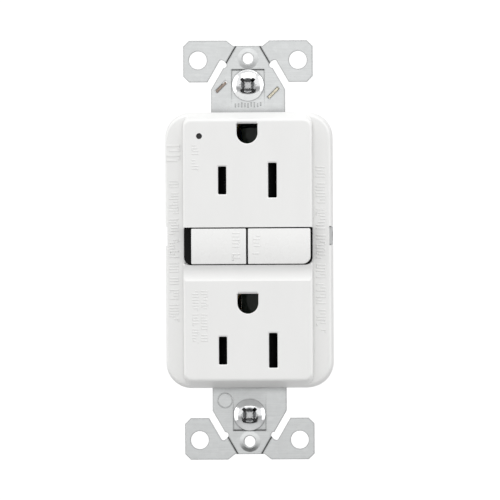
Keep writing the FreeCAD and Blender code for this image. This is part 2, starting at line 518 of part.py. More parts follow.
def box_screw(s):
    """Captive 6-32 machine screw with a domed head and a thin neck, which its retainer grips."""
    z, dome_r, head_back = s * BOX_SCREW_Z, 5.6, -1.2
    dome = Part.makeSphere(dome_r, V(0, BOX_HEAD_Y + dome_r, z))
    head = rod_y(0, z, BOX_HEAD_R, BOX_HEAD_Y, head_back).common(dome)
    neck = rod_y(0, z, BOX_NECK_R, head_back - 0.5, BOX_THREAD_Y + 0.5)
    thread = rod_y(0, z, BOX_SHANK_R, BOX_THREAD_Y, BOX_SCREW_END)
    thread = thread.makeChamfer(0.5, edges_at_y(thread, BOX_SCREW_END))
    return cut(fuse([head, neck, thread]), driver_recess(z))


def screw_retainers():
    """Fibre squares that keep the box screws in their slots."""
    half_x, half_z, corner, y0, y1, gap = 3.7, 3.6, 0.6, 0.42, 1.17, 0.04
    made = []
    for s in SIDES:
        z = s * BOX_SCREW_Z
        square = rounded_block(half_x, half_z, corner, y0, y1, 0, z)
        made.append(square.cut(rod_y(0, z, BOX_NECK_R + gap, y0 - PAST, y1 + PAST)))
    return Part.makeCompound(made)


def grounding_clip():
    """Bronze strip behind the strap, round the upper box screw's neck; its legs sit in the strap's slits."""
    t, low_y, high_y, z0, z1, pass_r = 0.4, 0.27, 1.95, 38.3, 42.1, BOX_NECK_R + 0.05
    path = [(-8.2, low_y), (-5.0, low_y), (-4.7, high_y), (4.7, high_y), (5.0, low_y), (8.0, low_y)]
    strip = prism_z(strip_outline(path, t), z0, z1)
    legs = [clip_slit(x, z, SLIT_LENGTH - 0.4, SLIT_W - 0.25, STRAP_FRONT + 0.12, 0.2) for x, z in CLIP_SLITS]
    notch = [rod_y(0, BOX_SCREW_Z, pass_r, 1, 3), box(-pass_r, pass_r, 1, 3, BOX_SCREW_Z, BOX_SCREW_Z + 3)]
    return cut(fuse([strip] + legs), notch)


def corner_screws():
    """Four long screws that close the housing from behind."""
    head_r, head_y0, head_y1, shank_r, slot, reach = 2.1, REAR_END_Y - 2.15, REAR_END_Y - 0.75, 1.2, 0.3, 1.3
    made = []
    for x, z in CORNERS:
        screw = fuse([rod_y(x, z, head_r, head_y0, head_y1),
                      rod_y(x, z, shank_r, STRAP_FRONT, head_y0 + 0.1)])
        cross = [box(x - reach, x + reach, head_y1 - 0.8, REAR_END_Y, z - slot, z + slot),
                 box(x - slot, x + slot, head_y1 - 0.8, REAR_END_Y, z - reach, z + reach)]
        made.append(cut(screw, cross))
    return Part.makeCompound(made)


def ground_rivets():
    """Rivets through the strap and the ground contacts' feet."""
    head, tail, r, gap = 1.25, 1.2, 0.78, 0.02
    made = []
    for x, z in ground_rivet_places():
        made.append(fuse([rod_y(x, z, r, STRAP_FRONT - 0.1, 0.7), rod_y(x, z, tail, 0.62 + gap, 1.1),
                          rod_y(x, z, head, STRAP_FRONT - 0.55, STRAP_FRONT - gap)]))
    return Part.makeCompound(made)


# ---------------------------------------------------------------- contacts

def blade_contact(x, z):
    """Female contact: two sprung leaves that rise from an open base to grip a blade."""
    leaf, t = [(1.9, BASE_Y + 0.5), (1.75, 5.0), (0.95, 2.2), (1.5, 0.6)], 0.5
    leaves = [prism_z(strip_outline([(x + s * a, y) for a, y in leaf], t), z - LEAF_HALF_Z, z + LEAF_HALF_Z)
              for s in SIDES]
    base = box(x - 2.15, x + 2.15, BASE_Y, BASE_Y + BASE_T, z - BASE_HALF_Z, z + BASE_HALF_Z)
    window = box(x - BLADE_PASS_X, x + BLADE_PASS_X, BASE_Y - 1, BASE_Y + 1,
                 z - BLADE_PASS_Z, z + BLADE_PASS_Z)
    return fuse(leaves + [base.cut(window)])


def contact_bus(s):
    """Two blade contacts joined by a strip, with a silver point for the moving contact."""
    y1, outer = BASE_Y + BASE_T, s * (BUS_X + BUS_HALF)
    pieces = [blade_contact(s * BLADE_X, z) for z in OUTLETS]
    pieces += [box(s * (BLADE_X + 1.9), s * BUS_X, BASE_Y, y1, z - LEAF_HALF_Z, z + LEAF_HALF_Z)
               for z in OUTLETS]
    pieces.append(box(s * (BUS_X - BUS_HALF), outer, BASE_Y, y1,
                      OUTLETS[1] - LEAF_HALF_Z, OUTLETS[0] + LEAF_HALF_Z))
    pieces.append(rod_y(s * BUS_X, PLUNGE_Z, 1.1, BASE_Y, POINT_FACE_Y))
    return fuse(pieces)


def ground_contact(z):
    """U-shaped spring contact under a ground opening, riveted to the strap's rear face."""
    y0, t, half_z, foot_half, foot_reach = 0.12, 0.5, 2.0, 1.5, 6.9
    path = [(3.35, y0 + 0.3), (3.35, 4.2), (2.55, 6.2), (3.0, 8.4)]
    jaws = [prism_z(strip_outline([(s * a, y) for a, y in path], t), z - half_z, z + half_z) for s in SIDES]
    ring = rounded_block(3.6, 3.4, 1.0, y0, y0 + t, 0, z)
    feet = [box(-foot_half, foot_half, y0, y0 + t, z, z + s * foot_reach) for s in SIDES
            if z + s * foot_reach < CAVITY_HALF_Z]
    body = fuse([ring] + feet).cut(rod_y(0, z, 3.05, -PAST, PAST))
    body = fuse([body] + jaws)
    return cut(body, [rod_y(x, hole_z, 0.8, -PAST, PAST) for x, hole_z in ground_rivet_places()])


def shutter_frame(z):
    """Black base that guides the two shutters of one outlet."""
    half_x, inner_x, front = 13.8, 12.6, FACE_INNER_Y + 0.1
    frame = box(-half_x, half_x, front, STRAP_FRONT - 0.1, z - 5.6, z + 7.0)
    cutters = [box(-inner_x, inner_x, front - PAST, SHUTTER_Y1 + 0.2, z - 4.75, z + 4.75)]
    cutters += [box(s * (BLADE_X - 1.3), s * (BLADE_X + 1.3), SHUTTER_Y1, 0, z - 4.6, z + 4.6) for s in SIDES]
    cutters += [rod_y(x, rivet_z, 1.4, STRAP_FRONT - 0.65, 0) for x, rivet_z in ground_rivet_places()]
    return cut(frame, cutters)


def shutter(s, z):
    """Sliding shutter whose ramp lets a blade push it towards the middle."""
    ramp = [(SHUTTER_OUT, SHUTTER_Y1), (SHUTTER_OUT, SHUTTER_Y1 - 1.1), (SHUTTER_IN + 1.3, SHUTTER_Y0),
            (SHUTTER_IN, SHUTTER_Y0), (SHUTTER_IN, SHUTTER_Y1)]
    body = prism_z([(s * x, y) for x, y in ramp], z - SHUTTER_HALF_Z, z + SHUTTER_HALF_Z)
    return body.cut(rod_x(POCKET_Y, z, POCKET_R, s * (SHUTTER_IN - PAST), s * (SHUTTER_IN + POCKET_DEPTH)))


def tube_x(y, z, r, bore, x0, x1):
    return rod_x(y, z, r, x0, x1).cut(rod_x(y, z, bore, x0 - PAST, x1 + PAST))


def tube_y(x, z, r, bore, y0, y1):
    return rod_y(x, z, r, y0, y1).cut(rod_y(x, z, bore, y0 - PAST, y1 + PAST))


def tube_z(x, y, r, bore, z0, z1):
    return rod_z(x, y, r, z0, z1).cut(rod_z(x, y, bore, z0 - PAST, z1 + PAST))


def shutter_springs():
    """Sleeves that stand for the coil springs between each pair of shutters."""
    reach, r, bore = SHUTTER_IN + POCKET_DEPTH - 0.05, POCKET_R - 0.15, POCKET_R - 0.5
    return Part.makeCompound([tube_x(POCKET_Y, z, r, bore, -reach, reach) for z in OUTLETS])


# ---------------------------------------------------------------- terminals

def terminal_plate(s, z, end_y):
    """Tapped plate in a side recess, with a tail that reaches the contacts inside."""
    x0, x1 = s * PLATE_X0, s * (PLATE_X0 + PLATE_T)
    foot_x, foot_t = s * (BUS_X + BUS_HALF + 1.0), 0.6
    plate = box(x0, x1, RECESS_Y0 + 0.4, RECESS_Y1 - 0.4, z - 5.2, z + 5.2)
    tail = box(x0, x1, end_y, RECESS_Y0 + 0.5, z - 1.4, z + 1.4)
    foot = box(foot_x, x1, end_y, end_y + foot_t, z - 1.4, z + 1.4)
    return fuse([plate, tail, foot]).cut(rod_x(TERMINAL_Y, z, SHANK_R + SHANK_GAP, foot_x, s * HEAD_X0))


def clamp_plate(s, z):
    """Pressure plate under a terminal screw's head, grooved where it grips the wire."""
    inner, groove_r = s * CLAMP_X0, 0.35
    plate = box(inner, s * (CLAMP_X0 + CLAMP_T), TERMINAL_Y - 4.6, TERMINAL_Y + 5.2, z - 5.3, z + 5.3)
    grooves = [rod_z(s * (CLAMP_X0 - 0.1), TERMINAL_Y + dy, groove_r, z - 6, z + 6)
               for dy in (-3.4, -2.4, 2.6, 3.6)]
    return cut(plate, grooves + [rod_x(TERMINAL_Y, z, SHANK_R + 0.2, s * (CLAMP_X0 - 1), s * (HEAD_X0 + 1))])


def terminal_screw(s, z):
    """Slotted 8-32 binding-head screw."""
    front, slot_half, slot_depth, cross_depth, cross_reach = HEAD_X0 + HEAD_T, 0.5, 0.9, 1.1, 2.1
    head = rod_x(TERMINAL_Y, z, HEAD_R, s * HEAD_X0, s * front)
    head = head.makeFillet(0.7, edges_where(head, lambda p: abs(abs(p.x) - front) < 1e-4))
    shank = rod_x(TERMINAL_Y, z, SHANK_R, s * (RECESS_FLOOR_X - 1.8), s * (HEAD_X0 + 0.5))
    slot = box(s * (front - slot_depth), s * (front + 1), TERMINAL_Y - slot_half, TERMINAL_Y + slot_half,
               z - HEAD_R - 1, z + HEAD_R + 1)
    cross = box(s * (front - cross_depth), s * (front + 1),
                TERMINAL_Y - cross_reach, TERMINAL_Y + cross_reach, z - slot_half, z + slot_half)
    return cut(fuse([head, shank]), [slot, cross])


def ground_clamp():
    """Square wire clamp under the ground screw."""
    half, top = 3.9, GROUND_TAB_Z - STRAP_T - 0.1
    plate = box(-half, half, GROUND_SCREW_Y - 4.2, GROUND_SCREW_Y + 4.2, top - GROUND_CLAMP_T, top)
    return plate.cut(rod_z(0, GROUND_SCREW_Y, SHANK_R + 0.2, top - 2, top + 1))


def ground_screw():
    """Slotted hexagon-head screw with a washer face."""
    z, corner_r, height, flange_r = GROUND_TAB_Z - STRAP_T - 1.0, 4.0, 2.2, 4.2
    turns = [math.radians(a) for a in range(0, 360, 60)]
    corners = [V(corner_r * math.cos(a), GROUND_SCREW_Y + corner_r * math.sin(a), z) for a in turns]
    crown = Part.makeCone(corner_r - 0.8, corner_r + 0.8, 1.6, V(0, GROUND_SCREW_Y, z - height), V(0, 0, 1))
    crown = fuse([crown, rod_z(0, GROUND_SCREW_Y, corner_r + 0.8, z - height + 1.6, z)])
    head = prism(corners, V(0, 0, -height)).common(crown)
    flange = rod_z(0, GROUND_SCREW_Y, flange_r, z - 0.45, z)
    shank = rod_z(0, GROUND_SCREW_Y, SHANK_R, z - 0.5, GROUND_TAB_Z + 3.6)
    slot = box(-5, 5, GROUND_SCREW_Y - 0.5, GROUND_SCREW_Y + 0.5, z - 3, z - 1.3)
    return fuse([head, flange, shank]).cut(slot)


# ---------------------------------------------------------------- buttons

def button_cap(x0, x1, radii):
    """Button cap with a crowned front, its top at the height of the opening's gaps."""
    z0, z1 = BUTTON_Z0 + BUTTON_GAP_LOW, BUTTON_Z1 - BUTTON_GAP_HIGH
    front = CAP_TOP_Y - CROWN_RISE
    cap = Part.Face(corner_wire(x0, x1, z0, z1, radii, front)).extrude(V(0, CAP_BACK_Y - front, 0))
    cap = cap.common(rod_x(front + CROWN_R, (z0 + z1) / 2, CROWN_R, x0 - 1, x1 + 1))
    return cap.makeFillet(0.22, edges_where(cap, lambda p: p.y < CAP_TOP_Y + 0.3))


def stem(x, r, end_y):
    return rod_y(x, PLUNGE_Z, r, CAP_BACK_Y - 0.3, end_y)


def reset_button():
    """Reset cap and hollow stem; the reset pin is pressed into it."""
    small = 0.25
    cap = fuse([button_cap(RESET_X0, RESET_X1, (small,) * 4), stem(-PLUNGE_X, STEM_R, -4.6)])
    return cap.cut(rod_y(-PLUNGE_X, PLUNGE_Z, PIN_R, CAP_BACK_Y + 0.4, 0))


def test_button():
    """Test cap, stem and the finger that bends the test blade."""
    small = 0.25
    cap = button_cap(TEST_X0, TEST_X1, (small, BUTTON_R - 0.1, SHARP_R, small))
    return fuse([cap, stem(PLUNGE_X, STEM_R, -4.6), stem(PLUNGE_X, 1.2, 0.4)])


def reset_pin():
    """Steel pin of the reset button, with a latch groove and a pointed tip."""
    start, tip, end, groove_half = CAP_BACK_Y + 0.4, 16.6, 17.4, 0.45
    low, high, outside, core_r = LATCH_Y - groove_half, LATCH_Y + groove_half, PIN_R + 0.5, 0.65
    pin = fuse([rod_y(-PLUNGE_X, PLUNGE_Z, PIN_R, start, tip),
                cone_y(-PLUNGE_X, PLUNGE_Z, PIN_R, 0.4, tip, end)])
    groove = rod_y(-PLUNGE_X, PLUNGE_Z, outside, low, high).cut(rod_y(-PLUNGE_X, PLUNGE_Z, core_r, low, high))
    return pin.cut(groove)


def button_spring(x):
    """Sleeve that stands for a coil spring round a button's stem."""
    return tube_y(x, PLUNGE_Z, WELL_R - 0.25, STEM_R + 0.2, CAP_BACK_Y + 0.05, WELL_FLOOR_Y - 0.05)


# ---------------------------------------------------------------- trip mechanism

def contact_lifter():
    """Block on the reset pin that carries the moving contacts and guides the latch plate."""
    bar_half, hub_x0, hub_x1, y0, bar_t = 12.0, -9.4, -1.6, 11.45, 1.8
    bar = box(-bar_half, bar_half, y0, y0 + bar_t, PLUNGE_Z - 2.6, PLUNGE_Z + 2.6)
    hub = box(hub_x0, hub_x1, y0, LATCH_Y + 1.8, PLUNGE_Z - 3.6, PLUNGE_Z + 3.6)
    slot_half = LATCH_T / 2 + 0.1
    slot = box(hub_x0 + 1.1, hub_x1 - 1.1, LATCH_Y - slot_half, LATCH_Y + slot_half,
               PLUNGE_Z - 6, PLUNGE_Z + 6)
    return cut(fuse([bar, hub]), [rod_y(-PLUNGE_X, PLUNGE_Z, PIN_R + 0.3, 10, 20), slot])


def latch_plate():
    """Steel plate that sits in the reset pin's groove and frees it when the plunger pushes it up."""
    half_x, low, high = 2.7, PLUNGE_Z - 5.8, PLUNGE_Z + 4.2
    y0, y1, narrow, wide = LATCH_Y - LATCH_T / 2, LATCH_Y + LATCH_T / 2, 0.75, PIN_R + 0.1
    plate = box(-PLUNGE_X - half_x, -PLUNGE_X + half_x, y0, y1, low, high)
    keyhole = [rod_y(-PLUNGE_X, PLUNGE_Z - 1.9, wide, y0 - 1, y1 + 1),
               box(-PLUNGE_X - narrow, -PLUNGE_X + narrow, y0 - 1, y1 + 1, PLUNGE_Z - 1.9, PLUNGE_Z + narrow)]
    return cut(plate, keyhole)


def moving_contacts():
    """Two bridge strips with silver points, carried by the lifter."""
    y1, strip_t, half_x, half_z = 11.4, 0.5, 1.2, 6.5
    made = []
    for s in SIDES:
        strip = box(s * (BUS_X - half_x), s * (BUS_X + half_x), y1 - strip_t, y1, -half_z, half_z)
        made.append(fuse([strip, rod_y(s * BUS_X, PLUNGE_Z, 1.1, POINT_FACE_Y + 0.02, y1 - 0.1)]))
    return Part.makeCompound(made)


def test_blade():
    """Brass leaf that the test button bends onto the board's test pad."""
    t, y0, top, half = 0.4, 2.1, 8.0, 1.5
    leaf = box(PLUNGE_X - half, PLUNGE_X + half, y0, y0 + t, PLUNGE_Z - 2.8, top)
    return fuse([leaf, box(PLUNGE_X - half, PLUNGE_X + half, y0, 18.0, top - t, top)])


def solenoid_bobbin():
    flanges = [rod_z(SOLENOID_X, SOLENOID_Y, FLANGE_R, z, z + 1.0) for z in (SOLENOID_Z0, SOLENOID_Z1 - 1.0)]
    return fuse([tube_z(SOLENOID_X, SOLENOID_Y, TUBE_R, BORE_R, SOLENOID_Z0, SOLENOID_Z1)]
                + [f.cut(rod_z(SOLENOID_X, SOLENOID_Y, BORE_R, SOLENOID_Z0, SOLENOID_Z1)) for f in flanges])


def solenoid_coil():
    gap = 0.02
    return tube_z(SOLENOID_X, SOLENOID_Y, COIL_R, TUBE_R + gap, SOLENOID_Z0 + 1 + gap, SOLENOID_Z1 - 1 - gap)


def solenoid_frame():
    """U-shaped steel yoke round the coil, open towards the front."""
    t, half_x, front, back = 0.8, 4.2, SOLENOID_Y - 4.0, SOLENOID_Y + 5.0
    low, high = SOLENOID_Z0 - t / 2 - 0.02, SOLENOID_Z1 + t / 2 + 0.02
    yoke = prism_x(strip_outline([(front, low), (back, low), (back, high), (front, high)], t),
                   SOLENOID_X - half_x, SOLENOID_X + half_x)
    return yoke.cut(rod_z(SOLENOID_X, SOLENOID_Y, BORE_R + 0.2, high - 1, high + 1))


def solenoid_plunger():
    """Steel plunger with a thin nose that pushes the latch plate."""
    shoulder, nose_end = SOLENOID_Z1 + 1.1, PLUNGE_Z - 6.0
    return fuse([rod_z(SOLENOID_X, SOLENOID_Y, BORE_R - 0.05, SOLENOID_Z0 + 5, shoulder),
                 rod_z(SOLENOID_X, SOLENOID_Y + 0.2, 0.8, shoulder, nose_end)])


def plunger_spring():
    """Sleeve that stands for the plunger's return spring."""
    return tube_z(SOLENOID_X, SOLENOID_Y, BORE_R - 0.1, BORE_R - 0.6, SOLENOID_Z0 + 0.1, SOLENOID_Z0 + 4.9)


# ---------------------------------------------------------------- circuit board and its parts

def circuit_board():
    """Board across the back, narrow between the terminal recesses."""
    narrow, end_half, wide, length, waist = 11.9, 13.9, 17.6, 31.0, 11.4
    y1 = BOARD_Y0 + BOARD_T
    pieces = [box(-narrow, narrow, BOARD_Y0, y1, -length, length),
              box(-wide, wide, BOARD_Y0, y1, -waist, waist)]
    pieces += [box(-end_half, end_half, BOARD_Y0, y1, s * (length - 4.4), s * length) for s in SIDES]
    return cut(fuse(pieces), [rod_y(s * WIRE_HOLE_X, CORE_Z, 0.9, BOARD_Y0 - 1, y1 + 1) for s in SIDES])


def transformer_case():
    """Round cup that holds the two sensing cores round the line wires."""
    wall, floor, hub_r = 0.8, 0.8, 3.9
    hollow = rod_y(0, CORE_Z, CASE_R - wall, CASE_Y0 + floor, CASE_Y1 + 1)
    cup = rod_y(0, CORE_Z, CASE_R, CASE_Y0, CASE_Y1).cut(hollow)
    hub = rod_y(0, CORE_Z, hub_r, CASE_Y0, CASE_Y1)
    return fuse([cup, hub]).cut(rod_y(0, CORE_Z, hub_r - wall, CASE_Y0 - 1, CASE_Y1 + 1))


def sensing_cores():
    """Two wound rings, one behind the other."""
    height = 3.9
    return Part.makeCompound([tube_y(0, CORE_Z, CASE_R - 1.1, 4.3, y, y + height) for y in (11.3, 15.6)])


def line_wires():
    """Two insulated conductors from the divider through the cores to the board."""
    r, y0, y1 = 0.85, COVER_END_Y - 0.08, BOARD_Y0 + BOARD_T - 0.3
    return Part.makeCompound([rod_y(s * WIRE_HOLE_X, CORE_Z, r, y0, y1) for s in SIDES])


def varistor():
    """Coated disc on two legs."""
    x, y, r, z0, z1 = -6.45, 15.0, 4.2, 27.3, 30.9
    disc = rod_z(x, y, r, z0, z1)
    disc = disc.makeFillet(1.0, disc.Edges[:1] + disc.Edges[2:])
    return fuse([disc] + [rod_y(x + dx, (z0 + z1) / 2, 0.35, y + 3.4, BOARD_FEET_Y) for dx in (-2.2, 2.2)])


def film_capacitor():
    x0, x1, y0, y1, z0, z1 = 3.0, 10.8, 12.4, 20.0, 27.4, 31.0
    body = box(x0, x1, y0, y1, z0, z1)
    legs = [rod_y(x, (z0 + z1) / 2, 0.35, y1 - 0.5, BOARD_FEET_Y) for x in (x0 + 1.4, x1 - 1.4)]
    return fuse([body.makeFillet(0.6, body.Edges)] + legs)


def control_chip():
    """Small-outline chip with eight leads along each side."""
    x0, x1, z0, count, pitch, lead = 6.2, 10.2, -3.9, 8, 1.27, 0.45
    pieces = [box(x0, x1, 18.9, 20.2, z0 - 0.3, z0 + count * pitch)]
    for foot in (x0 - 0.7, x1 - 0.2):
        pieces += [box(foot, foot + 0.9, 19.5, BOARD_FEET_Y, z0 + pitch * i, z0 + pitch * i + lead)
                   for i in range(count)]
    return fuse(pieces)


def diodes():
    """Four axial diodes on the board."""
    y, body_r, lead_r, half, reach = 19.0, 1.3, 0.4, 2.5, 3.4
    made = []
    for x in (4.8, 9.2):
        for z in (-14.0, -22.0):
            made.append(fuse([rod_z(x, y, body_r, z - half, z + half),
                              rod_z(x, y, lead_r, z - reach, z + reach)]))
    return Part.makeCompound(made)


def status_lamp():
    """Small lamp under the light pipe."""
    legs = [rod_y(LAMP_X + dx, LAMP_Z, 0.25, 20.3, BOARD_FEET_Y) for dx in (-0.7, 0.7)]
    return fuse([rod_y(LAMP_X, LAMP_Z, 1.35, 17.2, 20.4)] + legs)


def light_pipe():
    """Clear rod from the lamp to the small hole in the face."""
    tip_y, shoulder_y, end_y, r = FACE_Y + 0.7, FACE_INNER_Y + 0.1, 17.0, 1.2
    return fuse([rod_y(LAMP_X, LAMP_Z, r, shoulder_y, end_y),
                 rod_y(LAMP_X, LAMP_Z, LAMP_R - 0.07, tip_y, shoulder_y + 0.1)])


# ---------------------------------------------------------------- assembly

def sub_parts():
    """Every sub-part by its node's name."""
    made = {
        "front_cover": front_cover(), "rear_housing": rear_housing(), "inner_frame": inner_frame(),
        "button_guide": button_guide(), "mounting_strap": mounting_strap(),
        "grounding_clip": grounding_clip(), "corner_screws": corner_screws(),
        "ground_rivets": ground_rivets(), "screw_retainers": screw_retainers(),
        "upper_box_screw": box_screw(1), "lower_box_screw": box_screw(-1),
        "ground_clamp": ground_clamp(), "ground_screw": ground_screw(),
        "hot_contacts": contact_bus(-1), "neutral_contacts": contact_bus(1),
        "reset_button": reset_button(), "reset_pin": reset_pin(), "reset_spring": button_spring(-PLUNGE_X),
        "test_button": test_button(), "test_spring": button_spring(PLUNGE_X), "test_blade": test_blade(),
        "contact_lifter": contact_lifter(), "latch_plate": latch_plate(),
        "moving_contacts": moving_contacts(), "solenoid_bobbin": solenoid_bobbin(),
        "solenoid_coil": solenoid_coil(), "solenoid_frame": solenoid_frame(),
        "solenoid_plunger": solenoid_plunger(), "plunger_spring": plunger_spring(),
        "circuit_board": circuit_board(), "transformer_case": transformer_case(),
        "sensing_cores": sensing_cores(),
        "line_wires": line_wires(), "varistor": varistor(), "film_capacitor": film_capacitor(),
        "control_chip": control_chip(), "diodes": diodes(), "status_lamp": status_lamp(),
        "light_pipe": light_pipe(), "shutter_springs": shutter_springs(),
    }
    for label, z, ground_z in zip(("upper", "lower"), OUTLETS, GROUND_CENTRES):
        made[label + "_ground_contact"] = ground_contact(ground_z)
        made[label + "_shutter_frame"] = shutter_frame(z)
        made[label + "_hot_shutter"] = shutter(-1, z)
        made[label + "_neutral_shutter"] = shutter(1, z)
    for row, z, end_y in TERMINAL_ROWS:
        for side, s in zip(("hot", "neutral"), SIDES):
            name = row + "_" + side
            made[name + "_plate"] = terminal_plate(s, z, end_y)
            made[name + "_clamp"] = clamp_plate(s, z)
            made[name + "_screw"] = terminal_screw(s, z)
    return made


def main():
    os.makedirs("parts", exist_ok=True)
    for name, shape in sub_parts().items():
        solids = shape.Solids
        if not solids or not shape.isValid() or min(s.Volume for s in solids) <= 0:
            raise ValueError(name + " isn't a sound solid")
        out = solids[0] if len(solids) == 1 else Part.makeCompound(solids)
        out.exportStep("parts/" + name + ".step")
        print(name, len(solids), "solid(s)", round(sum(s.Volume for s in solids), 1), "mm3")


main()
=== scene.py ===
"""Looks of the ground-fault receptacle: materials, wound and threaded pieces, raised marks, light and camera.

Lengths are millimetres in the CAD frame until they reach a mesh, a light or the camera, which take metres.
"""

import math
import random

import bmesh
import bpy
from mathutils import Matrix, Vector


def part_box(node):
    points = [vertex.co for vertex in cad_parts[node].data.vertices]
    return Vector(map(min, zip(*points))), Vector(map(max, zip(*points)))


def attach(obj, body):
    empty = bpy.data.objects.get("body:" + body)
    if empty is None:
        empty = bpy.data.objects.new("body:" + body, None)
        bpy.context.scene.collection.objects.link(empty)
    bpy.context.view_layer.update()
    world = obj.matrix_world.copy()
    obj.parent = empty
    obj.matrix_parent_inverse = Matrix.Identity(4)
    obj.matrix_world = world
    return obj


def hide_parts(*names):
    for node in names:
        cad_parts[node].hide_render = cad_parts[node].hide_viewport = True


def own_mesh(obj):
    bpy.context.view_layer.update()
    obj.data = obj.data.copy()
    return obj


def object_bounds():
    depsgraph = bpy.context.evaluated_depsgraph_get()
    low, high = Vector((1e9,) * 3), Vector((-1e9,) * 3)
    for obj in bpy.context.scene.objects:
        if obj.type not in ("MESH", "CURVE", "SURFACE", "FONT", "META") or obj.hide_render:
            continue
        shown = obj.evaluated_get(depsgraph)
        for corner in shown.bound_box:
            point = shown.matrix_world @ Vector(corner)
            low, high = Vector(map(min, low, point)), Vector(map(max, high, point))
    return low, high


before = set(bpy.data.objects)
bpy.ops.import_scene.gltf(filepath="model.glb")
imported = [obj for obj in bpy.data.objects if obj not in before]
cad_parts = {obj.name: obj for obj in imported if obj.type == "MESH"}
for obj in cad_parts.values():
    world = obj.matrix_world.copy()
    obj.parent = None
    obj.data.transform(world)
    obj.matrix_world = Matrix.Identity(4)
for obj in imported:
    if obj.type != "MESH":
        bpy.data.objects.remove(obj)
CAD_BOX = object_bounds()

MM = 0.001
SIDES = (-1, 1)
HOME = "receptacle"     # the body of everything that stays still

# Faces of the part in millimetres: the front ones repeat its dimensions, the others come from the frame
FACE_Y = -8.9
LEDGE_Y = -4.2
STRAP_Y = -1.2
REAR_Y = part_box("rear_housing")[1].y / MM
CAP_LOW, CAP_HIGH = (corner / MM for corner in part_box("test_button"))
CROWN_R = 30.0


# ---------------------------------------------------------------- node graphs

def srgb(red, green, blue):
    """Linear colour from 0 to 255 display values."""
    return tuple((c / 255 / 12.92 if c < 11 else ((c / 255 + 0.055) / 1.055) ** 2.4)
                 for c in (red, green, blue))


def shade(colour, share):
    """A colour made darker or lighter, with its alpha."""
    return tuple(min(c * share, 1.0) for c in colour[:3]) + (1.0,)


class Graph:
    """One material, with short calls for its nodes. Textures follow the piece's own coordinates."""

    def __init__(self, name):
        """New node material with its shader and the piece's own coordinates."""
        self.material = bpy.data.materials.new(name)
        self.material.use_nodes = True
        self.nodes = self.material.node_tree.nodes
        self.links = self.material.node_tree.links
        self.shader = self.nodes["Principled BSDF"]
        self.place = self.nodes.new("ShaderNodeTexCoord").outputs["Object"]

    def put(self, socket, value):
        """Links a node's output to a socket, or sets the socket's own value."""
        if isinstance(value, bpy.types.NodeSocket):
            self.links.new(value, socket)
        else:
            socket.default_value = value

    def add(self, kind, output, inputs, **settings):
        """New node with its settings and inputs, as one of its outputs."""
        node = self.nodes.new(kind)
        for key, value in settings.items():
            setattr(node, key, value)
        for key, value in inputs.items():
            self.put(node.inputs[key], value)
        return node.outputs[output]

    def coordinates(self, size, stretch):
        """Own coordinates in units of a feature size in millimetres, drawn out along an axis."""
        scale = [1 / (size * MM * s) for s in stretch]
        return self.add("ShaderNodeMapping", "Vector", {"Vector": self.place, "Scale": scale})

    def noise(self, size, detail=3.0, stretch=(1, 1, 1), distortion=0.0):
        """Cloudy noise with features of about a size in millimetres."""
        inputs = {"Vector": self.coordinates(size, stretch), "Scale": 1.0, "Detail": detail,
                  "Distortion": distortion}
        return self.add("ShaderNodeTexNoise", "Fac", inputs)

    def crystals(self, size, output="Color"):
        """Cells with straight borders, each of one shade."""
        return self.add("ShaderNodeTexVoronoi", output,
                        {"Vector": self.coordinates(size, (1, 1, 1)), "Scale": 1.0})

    def span(self, value, low, high, to_low, to_high):
        """Value between low and high, spread over another range and held at its ends."""
        inputs = {"Value": value, "From Min": low, "From Max": high, "To Min": to_low, "To Max": to_high}
        return self.add("ShaderNodeMapRange", "Result", inputs)

    def tones(self, value, *stops):
        """Colour from a value through stops of (place, colour)."""
        node = self.nodes.new("ShaderNodeValToRGB")
        ramp = node.color_ramp
        while len(ramp.elements) < len(stops):
            ramp.elements.new(0.5)
        for element, (place, colour) in zip(ramp.elements, stops):
            element.position = place
            element.color = shade(colour, 1.0)
        self.put(node.inputs["Fac"], value)
        return node.outputs["Color"]

    def mix(self, share, first, second):
        """First colour with a share of the second laid over it."""
        return self.add("ShaderNodeMixRGB", "Color", {"Fac": share, "Color1": first, "Color2": second})

    def rim(self, radius):
        """Near 1 within a radius in millimetres of a sharp edge, and 0 on flat ground."""
        soft = self.add("ShaderNodeBevel", "Normal", {"Radius": radius * MM}, samples=4)
        true = self.nodes.new("ShaderNodeNewGeometry").outputs["Normal"]
        match = self.add("ShaderNodeVectorMath", "Value", {0: soft, 1: true}, operation="DOT_PRODUCT")
        return self.span(match, 0.995, 0.85, 0.0, 1.0)

    def openness(self, reach):
        """1 on open ground and less in a groove or beside a wall, within a reach in millimetres."""
        return self.add("ShaderNodeAmbientOcclusion", "AO", {"Distance": reach * MM}, samples=8)

    def along(self, axis):
        """Place along one axis of the frame, in metres."""
        return self.add("ShaderNodeSeparateXYZ", axis, {"Vector": self.place})

    def soft_edges(self, radius):
        """Normal that rounds sharp edges off over a radius in millimetres."""
        return self.add("ShaderNodeBevel", "Normal", {"Radius": radius * MM}, samples=4)

    def bump(self, height, depth, under=None):
        """Normal from a height between 0 and 1 that stands for a depth in millimetres."""
        inputs = {"Height": height, "Distance": depth * MM, "Strength": 1.0}
        if under is not None:
            inputs["Normal"] = under
        return self.add("ShaderNodeBump", "Normal", inputs)

    def dress(self, colour, roughness, normal, **constants):
        """Joins colour, roughness and normal to the shader and sets its other sockets."""
        self.put(self.shader.inputs["Base Color"], colour)
        self.put(self.shader.inputs["Roughness"], roughness)
        self.put(self.shader.inputs["Normal"], normal)
        for key, value in constants.items():
            self.shader.inputs[key.replace("_", " ")].default_value = value
        return self.material


# ---------------------------------------------------------------- materials

